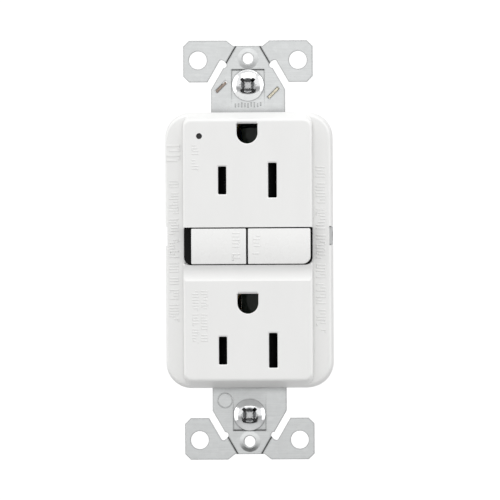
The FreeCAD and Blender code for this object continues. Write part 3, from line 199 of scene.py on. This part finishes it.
def moulded_plastic(name, tint, roughness, grain=0.22, relief=0.004, gloss=0.5):
    """Moulded plastic: faint flow clouds, fine eroded grain, uneven gloss, soft edges and painted shade in
    creases and narrow gaps.
    """
    g = Graph(name)
    flow = g.noise(8.0, stretch=(1, 1, 2.5))
    fine = g.noise(grain, detail=2.0)
    clean = g.tones(flow, (0.3, shade(tint, 0.975)), (0.7, tint))
    # painted shade: the colour darkens where nearby walls hem the surface in, standing in for shadow in
    # creases and gaps
    colour = g.mix(g.span(g.openness(1.5), 0.1, 0.75, 0.6, 0.0), clean, shade(tint, 0.3))
    rough = g.span(g.noise(2.5), 0.3, 0.7, roughness - 0.05, roughness + 0.06)
    return g.dress(colour, rough, g.bump(fine, relief, g.soft_edges(0.12)), Specular_IOR_Level=gloss)


def galvanised_sheet(name, tint, roughness):
    """Zinc on rolled sheet: faint crystals, lines along X, small pits, dull edges and painted shade in
    grooves and beside walls.
    """
    g = Graph(name)
    clouds = g.noise(2.2, detail=5.0, stretch=(1.6, 1, 1))
    rolling = g.noise(0.3, stretch=(26, 1, 1), detail=4.0)
    pits = g.noise(0.16, detail=2.0)
    zinc = g.tones(clouds, (0.3, shade(tint, 0.88)), (0.5, shade(tint, 0.97)), (0.7, shade(tint, 1.03)))
    cells = g.tones(g.crystals(1.4), (0.0, shade(tint, 0.86)), (1.0, shade(tint, 1.1)))
    sheet = g.mix(0.3, zinc, cells)
    lined = g.mix(g.span(rolling, 0.35, 0.7, 0.0, 0.3), sheet, shade(tint, 0.76))
    pitted = g.mix(g.span(pits, 0.62, 0.75, 0.0, 0.3), lined, shade(tint, 0.6))
    rubbed = g.mix(g.span(g.rim(0.5), 0.0, 0.5, 0.0, 0.8), pitted, shade(tint, 0.35))
    # painted shade: darker in the grooves and on the sheet beside the cover's walls, standing in for shadow
    painted_shade = g.mix(g.span(g.openness(2.6), 0.25, 0.9, 0.95, 0.0), rubbed, shade(tint, 0.1))
    rough = g.span(clouds, 0.3, 0.7, roughness - 0.05, roughness + 0.06)
    height = g.mix(0.4, rolling, pits)
    return g.dress(painted_shade, rough, g.bump(height, 0.004, g.soft_edges(0.1)), Metallic=1.0)


def bright_metal(name, tint, roughness, worn, draw=(1, 1, 1), relief=0.003):
    """Plated or rolled metal: fine scratches, dull clouds, edges of another tone and painted shade in deep
    recesses.
    """
    g = Graph(name)
    clouds = g.noise(1.8, detail=4.0)
    scratch = g.noise(0.09, stretch=draw, detail=3.0)
    base = g.tones(clouds, (0.3, shade(tint, 0.9)), (0.7, tint))
    scored = g.mix(g.span(scratch, 0.6, 0.72, 0.0, 0.35), base, shade(tint, 0.7))
    rubbed = g.mix(g.span(g.rim(0.1), 0.0, 1.0, 0.0, 0.6), scored, shade(worn, 1.0))
    # painted shade: deep recesses such as the screw's driver pit turn near black, standing in for shadow
    painted_shade = g.mix(g.span(g.openness(3.0), 0.48, 0.8, 0.98, 0.0), rubbed, shade(tint, 0.02))
    rough = g.span(clouds, 0.3, 0.7, roughness * 0.75, roughness * 1.35)
    return g.dress(painted_shade, rough, g.bump(scratch, relief, g.soft_edges(0.08)), Metallic=1.0)


def bronze_sheet(name, left, right, roughness):
    """Spring bronze, darker and browner towards its left end as painted shade and brassy at its right, with
    drawn scratches.
    """
    g = Graph(name)
    half_reach = 7.0
    scratch = g.noise(0.12, stretch=(10, 1, 1), detail=3.0)
    tarnish = g.noise(0.8, detail=3.0)
    # painted shade: the colour runs from the shaded brown of the left end to brass at the right, by place
    # along X
    share = g.span(g.along("X"), -half_reach * MM, half_reach * MM, 0.0, 1.0)
    base = g.tones(share, (0.3, left), (0.7, right))
    scored = g.mix(g.span(scratch, 0.5, 0.7, 0.0, 0.5), base, shade(left, 0.55))
    stained = g.mix(g.span(tarnish, 0.5, 0.7, 0.0, 0.45), scored, shade(left, 0.35))
    rough = g.span(tarnish, 0.3, 0.7, roughness * 0.8, roughness * 1.3)
    return g.dress(stained, rough, g.bump(scratch, 0.005, g.soft_edges(0.06)), Metallic=1.0)


def glass_laminate(name, tint):
    """Green solder mask over woven glass, with a faint weave and paler round spots under it."""
    g = Graph(name)
    weave = g.add("ShaderNodeTexChecker", "Fac", {"Vector": g.coordinates(0.35, (1, 1, 1)), "Scale": 1.0})
    tracks = g.crystals(4.2, output="Distance")
    under = g.tones(g.span(tracks, 0.25, 0.3, 0.0, 1.0), (0.0, shade(tint, 1.35)), (1.0, tint))
    colour = g.mix(g.span(weave, 0.0, 1.0, 0.0, 0.08), under, shade(tint, 0.6))
    rough = g.span(g.noise(1.2), 0.3, 0.7, 0.28, 0.42)
    return g.dress(colour, rough, g.bump(weave, 0.004, g.soft_edges(0.1)), Coat_Weight=0.3)


def pressed_fibre(name, tint):
    """Hard red-brown fibre board with short fibres lying every way."""
    g = Graph(name)
    fibres = g.noise(0.2, stretch=(6, 1, 1), distortion=2.0)
    colour = g.tones(fibres, (0.3, shade(tint, 0.7)), (0.7, shade(tint, 1.15)))
    return g.dress(colour, g.span(fibres, 0.3, 0.7, 0.7, 0.85), g.bump(fibres, 0.02, g.soft_edges(0.15)))


def enamelled_wire(name, tint):
    """Copper under clear amber enamel."""
    g = Graph(name)
    pull = g.noise(0.3, detail=2.0)
    colour = g.tones(pull, (0.3, shade(tint, 0.75)), (0.7, tint))
    rough = g.span(pull, 0.3, 0.7, 0.22, 0.36)
    return g.dress(colour, rough, g.bump(pull, 0.004), Metallic=0.85, Coat_Weight=0.6, Coat_Roughness=0.12)


def fired_ferrite(name, tint):
    """Matt grey-black ceramic with pale specks."""
    g = Graph(name)
    grain = g.noise(0.12, detail=4.0)
    colour = g.tones(grain, (0.35, shade(tint, 0.7)), (0.62, tint), (0.75, shade(tint, 2.2)))
    return g.dress(colour, g.span(grain, 0.3, 0.7, 0.55, 0.75), g.bump(grain, 0.012, g.soft_edges(0.15)))


def dipped_resin(name, tint):
    """Thick epoxy dip with an orange-peel skin."""
    g = Graph(name)
    peel = g.noise(0.7, detail=1.0)
    colour = g.tones(g.noise(2.2), (0.3, shade(tint, 0.85)), (0.7, tint))
    return g.dress(colour, g.span(peel, 0.3, 0.7, 0.25, 0.38), g.bump(peel, 0.02, g.soft_edges(0.2)),
                   Coat_Weight=0.3)


def clear_rod(name, tint):
    """Smoked acrylic with faint flow clouds."""
    g = Graph(name)
    flow = g.noise(1.5, stretch=(1, 4, 1))
    colour = g.tones(flow, (0.3, shade(tint, 0.8)), (0.7, tint))
    return g.dress(colour, g.span(flow, 0.3, 0.7, 0.08, 0.16), g.bump(flow, 0.003), IOR=1.49,
                   Transmission_Weight=0.6)


def studio_paint(name, level):
    """Matt paint of the floor and the cards, with a faint mottle."""
    g = Graph(name)
    mottle = g.noise(60.0, detail=2.0)
    colour = g.tones(mottle, (0.2, (level - 0.03,) * 3), (0.8, (level,) * 3))
    return g.dress(colour, g.span(mottle, 0.2, 0.8, 0.8, 0.9), g.bump(mottle, 0.05))


def make_materials():
    """One material for each slot of the record, and a few more for pieces that share a slot."""
    white = srgb(240, 240, 239)
    return {
        "white_moulding": moulded_plastic("white_moulding", white, 0.36),
        "white_button": moulded_plastic("white_button", srgb(242, 242, 241), 0.27, grain=0.3, relief=0.002),
        "grey_housing": moulded_plastic("grey_housing", srgb(150, 152, 154), 0.5, grain=0.3, relief=0.012),
        "black_nylon": moulded_plastic("black_nylon", srgb(15, 15, 16), 0.45, relief=0.01, gloss=0.15),
        "galvanised_steel": galvanised_sheet("galvanised_steel", srgb(236, 238, 238), 0.34),
        "plated_steel": bright_metal("plated_steel", srgb(236, 237, 238), 0.13, srgb(205, 204, 200)),
        "spring_steel": bright_metal("spring_steel", srgb(176, 178, 182), 0.22, srgb(120, 118, 116),
                                     relief=0.001),
        "brass_alloy": bright_metal("brass_alloy", srgb(222, 186, 108), 0.24, srgb(240, 214, 150),
                                    draw=(1, 12, 1)),
        "green_plated_steel": bright_metal("green_plated_steel", srgb(44, 128, 66), 0.3, srgb(110, 160, 104)),
        "fibre": pressed_fibre("fibre", srgb(120, 62, 40)),
        "enamelled_copper": enamelled_wire("enamelled_copper", srgb(206, 108, 56)),
        "ferrite": fired_ferrite("ferrite", srgb(58, 58, 62)),
        "board_laminate": glass_laminate("board_laminate", srgb(20, 92, 52)),
        "component_body": dipped_resin("component_body", srgb(28, 92, 160)),
        "clear_acrylic": clear_rod("clear_acrylic", srgb(32, 32, 34)),
        # the first colour is the painted shade of the clip's left end, the second its brass at the right
        "bronze_strip": bronze_sheet("bronze_strip", srgb(174, 159, 148), srgb(243, 236, 214), 0.3),
        "chip_epoxy": moulded_plastic("chip_epoxy", srgb(34, 35, 38), 0.55, grain=0.12, relief=0.01),
        "film_case": dipped_resin("film_case", srgb(172, 44, 34)),
        "line_insulation": moulded_plastic("line_insulation", srgb(40, 42, 46), 0.35, grain=0.4, relief=0.01),
        "bobbin_nylon": moulded_plastic("bobbin_nylon", srgb(216, 210, 190), 0.4, grain=0.3, relief=0.008),
    }


NODE_FINISH = {"grounding_clip": "bronze_strip", "control_chip": "chip_epoxy", "film_capacitor": "film_case",
               "line_wires": "line_insulation", "solenoid_bobbin": "bobbin_nylon"}


def dress_frame(materials):
    """Gives every CAD node the material of its slot, or its own where the slot covers several finishes."""
    for name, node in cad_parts.items():
        for place in node.material_slots:
            place.material = materials[NODE_FINISH.get(name, place.material.name.split(".")[0])]


# ---------------------------------------------------------------- mesh work, in millimetres

def turn(sides, start=0.0):
    """Angles of one turn, evenly spaced."""
    return [start + 2 * math.pi * k / sides for k in range(sides)]


def skin(rings, closed=False):
    """Points and faces over rings of equal length, with end faces unless it closes on itself."""
    sides, count = len(rings[0]), len(rings)
    points = [p for ring in rings for p in ring]
    faces = []
    for i in range(count if closed else count - 1):
        a, b = i * sides, (i + 1) % count * sides
        faces += [(a + k, a + (k + 1) % sides, b + (k + 1) % sides, b + k) for k in range(sides)]
    if not closed:
        faces += [tuple(range(sides))[::-1], tuple(range(len(points) - sides, len(points)))]
    return points, faces


def joined(parts):
    """Points and faces of several parts in one."""
    points, faces = [], []
    for some, theirs in parts:
        first = len(points)
        points += some
        faces += [tuple(first + k for k in face) for face in theirs]
    return points, faces


def wire(path, radius, sides=8):
    """Round wire along a path of points."""
    rings, across = [], None
    for i, point in enumerate(path):
        along = (path[min(i + 1, len(path) - 1)] - path[max(i - 1, 0)]).normalized()
        across = along.orthogonal() if across is None else across - along * across.dot(along)
        across.normalize()
        over = along.cross(across)
        rings.append([point + (across * math.cos(a) + over * math.sin(a)) * radius for a in turn(sides)])
    return skin(rings)


AXES = {"X": (Vector((1, 0, 0)), Vector((0, 1, 0)), Vector((0, 0, 1))),
        "Y": (Vector((0, 1, 0)), Vector((0, 0, 1)), Vector((1, 0, 0))),
        "Z": (Vector((0, 0, 1)), Vector((1, 0, 0)), Vector((0, 1, 0)))}


def coil_path(axis, centre, radius, start, end, turns, wire_r, dead=1.2, per_turn=20):
    """Helix about an axis through a centre, with closed turns at both ends, like a compression spring's."""
    along, u, v = AXES[axis]
    shut = 2 * wire_r
    pitch = (end - start - shut - 2 * dead * shut) / (turns - 2 * dead)
    path = []
    for i in range(round(turns * per_turn) + 1):
        t = i / per_turn
        middle = min(max(t - dead, 0), turns - 2 * dead)
        rise = start + wire_r + (t - middle) * shut + middle * pitch
        a = 2 * math.pi * t
        path.append(centre + along * rise + (u * math.cos(a) + v * math.sin(a)) * radius)
    return path


def lathe(axis, centre, outline, sides=64, closed=False):
    """Solid of revolution from an outline of (radius, distance along the axis), a ring if it is closed."""
    along, u, v = AXES[axis]
    return skin([[centre + along * h + (u * math.cos(a) + v * math.sin(a)) * r for a in turn(sides)]
                 for r, h in outline], closed)


def frustum(axis, centre, first, second, twist=0.0):
    """Four-sided pyramid stump between two rectangles of (half width, half height, distance), twisted."""
    along, across, over = AXES[axis]
    u = across * math.cos(twist) + over * math.sin(twist)
    v = over * math.cos(twist) - across * math.sin(twist)
    corners = ((-1, -1), (1, -1), (1, 1), (-1, 1))
    return skin([[centre + along * h + u * (a * half_u) + v * (b * half_v) for a, b in corners]
                 for half_u, half_v, h in (first, second)])


def threaded_rod(axis, centre, root, crest, pitch, start, end, sides=32, per_pitch=8, plain=1.0):
    """V-threaded rod whose thread grows from a plain start, with a chamfered tip."""
    flank, tip_share, tip_slope = 1.25, 0.72, 0.8
    along, u, v = AXES[axis]
    rings = []
    for i in range(int((end - start) / pitch * per_pitch) + 1):
        h = start + i * pitch / per_pitch
        ring = []
        for a in turn(sides):
            phase = (h / pitch - a / (2 * math.pi)) % 1
            ridge = 1 - abs(2 * phase - 1)
            grown = min(1.0, max(0.0, (h - start) / plain - 0.5))
            r = root + (crest - root) * min(1.0, flank * ridge) * grown
            r = min(r, root * tip_share + (end - h) * tip_slope)
            ring.append(centre + along * h + (u * math.cos(a) + v * math.sin(a)) * r)
        rings.append(ring)
    return skin(rings)


def solid_mesh(name, part):
    """Mesh in metres from points in millimetres, with its faces turned outwards."""
    points, faces = part
    mesh = bpy.data.meshes.new(name)
    mesh.from_pydata([Vector(p) * MM for p in points], [], faces)
    work = bmesh.new()
    work.from_mesh(mesh)
    bmesh.ops.recalc_face_normals(work, faces=work.faces)
    work.to_mesh(mesh)
    work.free()
    return mesh


def smooth_by_angle(mesh, degrees=35):
    """Smooth shading that stays sharp across edges steeper than an angle."""
    mesh.polygons.foreach_set("use_smooth", [True] * len(mesh.polygons))
    mesh.set_sharp_from_angle(angle=math.radians(degrees))


def piece(name, part, material, body=HOME, stands_for=()):
    """New visible piece on a body."""
    made = bpy.data.objects.new(name, solid_mesh(name, part))
    bpy.context.collection.objects.link(made)
    smooth_by_angle(made.data)
    made.data.materials.append(material)
    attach(made, body)
    if stands_for:
        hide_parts(*stands_for)
    return made


def carve(made, parts):
    """Cuts solids out of a piece and keeps the result as its mesh."""
    for part in parts:
        tool = bpy.data.objects.new("tool", solid_mesh("tool", part))
        bpy.context.collection.objects.link(tool)
        cut = made.modifiers.new("cut", "BOOLEAN")
        cut.operation = "DIFFERENCE"
        cut.solver = "EXACT"
        cut.object = tool
        bpy.context.view_layer.update()
        carved = bpy.data.meshes.new_from_object(made.evaluated_get(bpy.context.evaluated_depsgraph_get()))
        made.modifiers.clear()
        made.data = carved
        bpy.data.objects.remove(tool)
    smooth_by_angle(made.data)


# ---------------------------------------------------------------- springs and windings

def button_springs(materials):
    """A coil spring under each button."""
    low_y, high_y, radius, wire_r, turns = -6.92, -1.97, 2.3, 0.24, 6.2
    for name, joint, keep in (("test", "test_press", 0.70), ("reset", "reset_press", 0.68)):
        low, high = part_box(name + "_spring")
        centre = Vector(((low.x + high.x) / 2 / MM, 0, (low.z + high.z) / 2 / MM))
        path = coil_path("Y", centre, radius, low_y, high_y, turns, wire_r)
        spring = piece(name + "_spring_coil", wire(path, wire_r), materials["spring_steel"],
                       stands_for=[name + "_spring"])
        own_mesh(spring)


def shutter_springs(materials):
    """A light spring between each pair of shutters."""
    reach, y, radius, wire_r, turns, keep = 5.93, -4.9, 1.03, 0.13, 15.4, 0.513
    for label in ("upper", "lower"):
        low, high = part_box(label + "_hot_shutter")
        centre = Vector((0, y, (low.z + high.z) / 2 / MM))
        path = coil_path("X", centre, radius, -reach, reach, turns, wire_r, per_turn=16)
        spring = piece(label + "_shutter_spring_coil", wire(path, wire_r, sides=6),
                       materials["spring_steel"], stands_for=["shutter_springs"])
        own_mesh(spring)


def solenoid_windings(materials):
    """Coil of wire over a solid sleeve on the bobbin, and the plunger's return spring."""
    spring_r, spring_wire, spring_turns = 1.44, 0.2, 6.4
    low, high = (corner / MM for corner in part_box("solenoid_coil"))
    centre = Vector(((low.x + high.x) / 2, (low.y + high.y) / 2, 0))
    outer, wire_r, bore = (high.x - low.x) / 2, 0.14, 2.52
    turns = (high.z - low.z) / (2 * wire_r) - 1
    path = coil_path("Z", centre, outer - wire_r, low.z, high.z, turns, wire_r, per_turn=24)
    under = outer - 2 * wire_r
    body = lathe("Z", centre, [(bore, low.z), (under, low.z), (under, high.z), (bore, high.z)],
                 sides=40, closed=True)
    piece("solenoid_winding", joined([wire(path, wire_r, sides=6), body]),
          materials["enamelled_copper"], stands_for=["solenoid_coil"])
    low, high = (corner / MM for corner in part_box("plunger_spring"))
    path = coil_path("Z", centre, spring_r, low.z, high.z, spring_turns, spring_wire)
    piece("plunger_spring_coil", wire(path, spring_wire), materials["spring_steel"],
          stands_for=["plunger_spring"])


def ring_winding(centre, inner, outer, low_y, high_y, wire_r, turns, per_turn=12):
    """Wire wound round most of a ring of rectangular section, with rounded corners."""
    wound_share, squareness = 0.94, 0.75
    middle, half_r, half_y = (inner + outer) / 2, (outer - inner) / 2 - wire_r, (high_y - low_y) / 2 - wire_r
    path = []
    for i in range(turns * per_turn):
        around, wound = 2 * math.pi * i / (turns * per_turn) * wound_share, 2 * math.pi * i / per_turn
        c, s = math.cos(wound), math.sin(wound)
        squared = max(abs(c), abs(s)) ** squareness
        r = middle + half_r * c / squared
        h = (low_y + high_y) / 2 + half_y * s / squared
        path.append(centre + Vector((r * math.cos(around), h, r * math.sin(around))))
    return wire(path, wire_r, sides=6)


def sensing_rings(materials):
    """Two ferrite rings wound with fine wire, one behind the other in their case."""
    low, high = (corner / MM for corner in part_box("sensing_cores"))
    centre = Vector(((low.x + high.x) / 2, 0, (low.z + high.z) / 2))
    inner, outer, height, wire_r, turns = 4.3, (high.x - low.x) / 2, 3.9, 0.16, 68
    for name, y, nodes in (("front", low.y, ["sensing_cores"]), ("rear", high.y - height, [])):
        w = 2.2 * wire_r
        outline = [(inner + w, y + w), (outer - w, y + w),
                   (outer - w, y + height - w), (inner + w, y + height - w)]
        rings = lathe("Y", centre, outline, sides=48, closed=True)
        piece(name + "_sensing_ring", rings, materials["ferrite"], stands_for=nodes)
        winding = ring_winding(centre, inner, outer, y, y + height, wire_r, turns)
        piece(name + "_sensing_winding", winding, materials["enamelled_copper"])


# ---------------------------------------------------------------- box screws

def dome_outline(radius, front, back, dome_r, rim_r=0.22, steps=12):
    """Outline of a domed head from its top to its underside: arc, rounded rim, flat back."""
    outline, hub, edge = [], 0.02, 0.1
    for i in range(steps + 1):
        r = hub + (radius - rim_r - hub) * i / steps
        outline.append((r, front + dome_r - math.sqrt(dome_r ** 2 - r ** 2)))
    edge_y = outline[-1][1] + rim_r
    outline += [(radius - rim_r * (1 - math.sin(a)), edge_y - rim_r * math.cos(a) * 0.8)
                for a in (math.pi / 6, math.pi / 3, math.pi / 2)]
    return outline + [(radius, back - edge), (radius - edge, back), (hub, back)]


def driver_recess(centre, front):
    """Solids that a combination recess takes out of a head: thin slot, tapered pit and diagonal cross."""
    slot_half, slot_depth, slot_reach = 0.2, 0.5, 5.0
    pit_r, floor_r, depth = 1.9, 0.8, 1.7
    arm, arm_reach, arm_taper = 0.5, 2.9, 0.45
    slot = frustum("Y", centre, (slot_half, slot_reach, front - 1),
                   (slot_half * 0.8, slot_reach, front + slot_depth))
    pit = lathe("Y", centre, [(pit_r + 0.25, front - 0.3), (pit_r, front + 0.12),
                              (pit_r * 0.8, front + depth * 0.55),
                              (floor_r, front + depth), (0.02, front + depth)], sides=32)
    arms = [frustum("Y", centre, (a, b, front - 0.1), (a * arm_taper, b * arm_taper, front + depth),
                    math.pi / 4)
            for a, b in ((arm_reach, arm), (arm, arm_reach))]
    return [slot, pit] + arms


def box_screws(materials):
    """Two 6-32 machine screws: domed head, combination recess, plain neck and a cut thread."""
    head_r, front, back, dome_r = 4.0, -3.05, -1.2, 5.6
    root, crest, pitch, neck_r, thread_y, overlap = 1.36, 1.75, 0.794, 1.45, 2.5, 0.2
    for name in ("upper_box_screw", "lower_box_screw"):
        low, high = (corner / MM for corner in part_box(name))
        centre = Vector((0, 0, (low.z + high.z) / 2))
        screw = piece(name + "_threaded", lathe("Y", centre, dome_outline(head_r, front, back, dome_r)),
                      materials["plated_steel"], body=name, stands_for=[name])
        carve(screw, driver_recess(centre, front))
        neck = lathe("Y", centre, [(neck_r, back - overlap), (neck_r, thread_y + overlap)], sides=32)
        rod = threaded_rod("Y", centre, root, crest, pitch, thread_y, high.y)
        thread = solid_mesh(name + "_thread", joined([neck, rod]))
        smooth_by_angle(thread, 60)
        work = bmesh.new()
        work.from_mesh(screw.data)
        work.from_mesh(thread)
        work.to_mesh(screw.data)
        work.free()


# ---------------------------------------------------------------- raised marks

def crown_y(z):
    """Depth of the buttons' curved front at a height."""
    middle = (CAP_LOW.z + CAP_HIGH.z) / 2
    return CAP_LOW.y + CROWN_R - math.sqrt(CROWN_R ** 2 - (z - middle) ** 2)


def raised_bar(x0, x1, z0, z1, y, outward, height, draft=0.07, sunk=0.04):
    """Low bar with sloping sides on a face that looks along -Y or +Y."""
    shoulder = 0.8

    def ring(margin, depth):
        """Corners of the bar at a depth, drawn in by a margin."""
        return [Vector((x, depth, z)) for x, z in ((x0 + margin, z0 + margin), (x1 - margin, z0 + margin),
                                                   (x1 - margin, z1 - margin), (x0 + margin, z1 - margin))]
    return skin([ring(-draft, y - outward * sunk), ring(0, y + outward * height * shoulder),
                 ring(draft, y + outward * height)])


def bar_row(seed, x, z_from, z_to, length, surface, outward=-1, height=0.11, thick=0.26, pitch=0.72):
    """Column of bars across X, in uneven groups of full and shorter bars that spell nothing."""
    link_share, link_gap, group_gap = 0.35, 1.3, 2.2
    rng = random.Random(seed)
    bars, z, left = [], z_from, rng.randint(3, 8)
    while z - thick > z_to:
        half = length / 2 * rng.choice((1.0, 1.0, 0.55, 0.8))
        shift = rng.choice((-1, 1)) * (length / 2 - half)
        bars.append(raised_bar(x + shift - half, x + shift + half, z - thick, z, surface(z), outward, height))
        if rng.random() < link_share:
            edge = x + rng.choice(SIDES) * (length / 2 - thick / 2)
            bars.append(raised_bar(edge - thick / 2, edge + thick / 2, z - pitch, z - thick * link_gap,
                                   surface(z), outward, height))
        left -= 1
        z -= pitch if left else pitch * group_gap
        left = left or rng.randint(3, 8)
    return bars


def moulded_marks(materials):
    """Rows of bars where such a receptacle carries its moulded ratings."""
    def flat(y):
        """Surface of one depth at every height."""
        return lambda z: y

    ledge, face = flat(LEDGE_Y), flat(FACE_Y)
    rows = (
        ("left_ledge_marks", HOME, "white_moulding",
         bar_row(1, -18.85, 26.6, 21.6, 3.3, ledge, thick=0.42, pitch=1.25, height=0.1)
         + bar_row(2, -18.8, 17.6, -18.2, 2.3, ledge)),
        ("right_ledge_marks", HOME, "white_moulding", bar_row(3, 18.35, 21.0, -20.6, 2.3, ledge, pitch=0.8)),
        ("lamp_marks", HOME, "white_moulding", bar_row(4, -13.1, 26.6, 19.8, 1.7, face, height=0.08)),
        ("lower_face_marks", HOME, "white_moulding",
         bar_row(5, -13.2, -10.2, -23.4, 1.6, face, height=0.08)
         + bar_row(6, -11.0, -10.2, -23.0, 1.6, face, height=0.08)),
        ("reset_marks", "reset_button", "white_button",
         bar_row(7, -2.9, 4.4, -2.0, 1.9, crown_y, height=0.08, pitch=0.85)),
        ("test_marks", "test_button", "white_button",
         bar_row(8, 2.3, 3.7, -1.6, 1.9, crown_y, height=0.08, pitch=0.85)),
        ("rear_marks", HOME, "grey_housing",
         [bar for i, (x, z) in enumerate(((-6.0, 24.0), (6.0, 24.0), (-6.0, -12.0), (6.0, -12.0)))
          for bar in bar_row(20 + i, x, z, z - 12, 2.0, flat(REAR_Y), outward=1, height=0.2, pitch=0.9)]),
    )
    for name, body, finish, bars in rows:
        piece(name, joined(bars), materials[finish], body=body)


def ring_mark(x, z, outer, inner, y, height):
    """Raised flat ring on the strap's front."""
    slope, sunk = 0.05, 0.03
    outline = [(outer + slope, y + sunk), (outer, y - height), (inner, y - height), (inner - slope, y + sunk)]
    return lathe("Y", Vector((x, 0, z)), outline, sides=40, closed=True)


def strap_marks(materials):
    """Plain empty ring below and one row of upright bars above, coined in the strap."""
    piece("lower_strap_marks", ring_mark(-6.2, -38.0, 1.95, 1.7, STRAP_Y, 0.06),
          materials["galvanised_steel"])
    upright, count, first_x, pitch, half, top_z = [], 9, -3.2, 0.8, 0.14, 37.3
    rng = random.Random(12)
    for i in range(count):
        x = first_x + i * pitch
        top = top_z - rng.choice((0.0, 0.25))
        upright.append(raised_bar(x - half, x + half, top - rng.uniform(0.8, 1.2), top, STRAP_Y, -1, 0.05))
    piece("upper_strap_marks", joined(upright), materials["galvanised_steel"])


# ---------------------------------------------------------------- light, floor and camera

def area_light(name, place, target, width, height, power):
    """Soft light aimed at a point, not seen by the camera itself."""
    data = bpy.data.lights.new(name, "AREA")
    data.shape = "RECTANGLE"
    data.size, data.size_y, data.energy = width, height, power
    made = bpy.data.objects.new(name, data)
    bpy.context.collection.objects.link(made)
    made.location = place
    made.rotation_euler = (Vector(target) - Vector(place)).to_track_quat("-Z", "Y").to_euler()
    made.visible_camera = False


def sky():
    """Light from all round that depends on height alone: bright above, white at eye level, dim below."""
    gain = 1.2
    stops = ((0.0, 0.66), (0.25, 0.5), (0.4, 0.34), (0.45, 0.5), (0.485, 0.9), (0.56, 0.88), (1.0, 0.76))
    world = bpy.data.worlds.new("studio")
    bpy.context.scene.world = world
    world.use_nodes = True
    nodes, links = world.node_tree.nodes, world.node_tree.links
    direction = nodes.new("ShaderNodeTexCoord").outputs["Generated"]
    parts = nodes.new("ShaderNodeSeparateXYZ")
    height = nodes.new("ShaderNodeMapRange")
    height.inputs["From Min"].default_value = -1.0
    ramp = nodes.new("ShaderNodeValToRGB")
    strength = nodes.new("ShaderNodeMath")
    strength.operation = "MULTIPLY"
    strength.inputs[1].default_value = gain
    while len(ramp.color_ramp.elements) < len(stops):
        ramp.color_ramp.elements.new(0.5)
    for element, (place, level) in zip(ramp.color_ramp.elements, stops):
        element.position = place
        element.color = (level, level, level, 1)
    links.new(direction, parts.inputs[0])
    links.new(parts.outputs["Z"], height.inputs["Value"])
    links.new(height.outputs["Result"], ramp.inputs["Fac"])
    links.new(ramp.outputs["Color"], strength.inputs[0])
    background = nodes["Background"]
    background.inputs["Color"].default_value = (1, 1, 1, 1)
    links.new(strength.outputs[0], background.inputs["Strength"])


def panel(name, points, material):
    """Flat stage piece through four points in metres."""
    mesh = bpy.data.meshes.new(name)
    mesh.from_pydata(points, [], [(0, 1, 2, 3)])
    mesh.materials.append(material)
    made = bpy.data.objects.new(name, mesh)
    bpy.context.collection.objects.link(made)
    return made


def studio():
    """Pale floor some way under the object, cards that only show in reflections, and the lights."""
    reach, drop = 0.9, 0.026
    floor_z = CAD_BOX[0].z - drop
    floor = panel("floor", [(-reach, -reach, floor_z), (reach, -reach, floor_z), (reach, reach, floor_z),
                            (-reach, reach, floor_z)], studio_paint("studio_floor", 0.98))
    floor.visible_diffuse = False
    floor.visible_glossy = False
    for name, x0, x1, y, z0, z1, level in (("low_card", -0.3, 0.3, -0.3, -0.36, -0.09, 0.04),
                                           ("left_card", -0.5, -0.022, 0.35, -0.3, 0.3, 0.55),
                                           ("right_card", 0.022, 0.5, 0.35, -0.3, 0.3, 0.55)):
        card = panel(name, [(x0, y, z0), (x1, y, z0), (x1, y, z1), (x0, y, z1)], studio_paint(name, level))
        card.visible_camera = False
        card.visible_diffuse = False
        card.visible_transmission = False
        card.visible_shadow = False
    sky()
    area_light("key", (0.0, -0.5, 0.75), (0, 0, 0), 1.1, 0.45, 2.0)
    for s in SIDES:
        area_light("side_strip", (0.6 * s, -0.12, 0.1), (0, 0, 0), 0.25, 0.8, 0.8)


def camera():
    """Long lens far in front, a little right of the middle, rolled as the object leans in its picture."""
    distance, frame_width, azimuth, lean, aside = 4.0, 0.1264, math.radians(2.4), math.radians(-0.3), 0.0003
    data = bpy.data.cameras.new("camera")
    data.lens = data.sensor_width * distance / frame_width
    data.clip_start, data.clip_end = 0.1, 20.0
    made = bpy.data.objects.new("camera", data)
    bpy.context.collection.objects.link(made)
    target = Vector((aside, STRAP_Y * MM, 0))
    back = Vector((math.sin(azimuth), -math.cos(azimuth), 0))
    made.location = target + back * distance
    aim = (-back).to_track_quat("-Z", "Y").to_matrix() @ Matrix.Rotation(lean, 3, "Z")
    made.rotation_euler = aim.to_euler()
    bpy.context.scene.camera = made
    bpy.context.scene.view_settings.view_transform = "Standard"


# ---------------------------------------------------------------- assembly

def main():
    """Builds the camera, the looks, the pieces made here and the studio."""
    materials = make_materials()
    camera()
    dress_frame(materials)
    button_springs(materials)
    shutter_springs(materials)
    solenoid_windings(materials)
    sensing_rings(materials)
    box_screws(materials)
    moulded_marks(materials)
    strap_marks(materials)
    studio()


main()
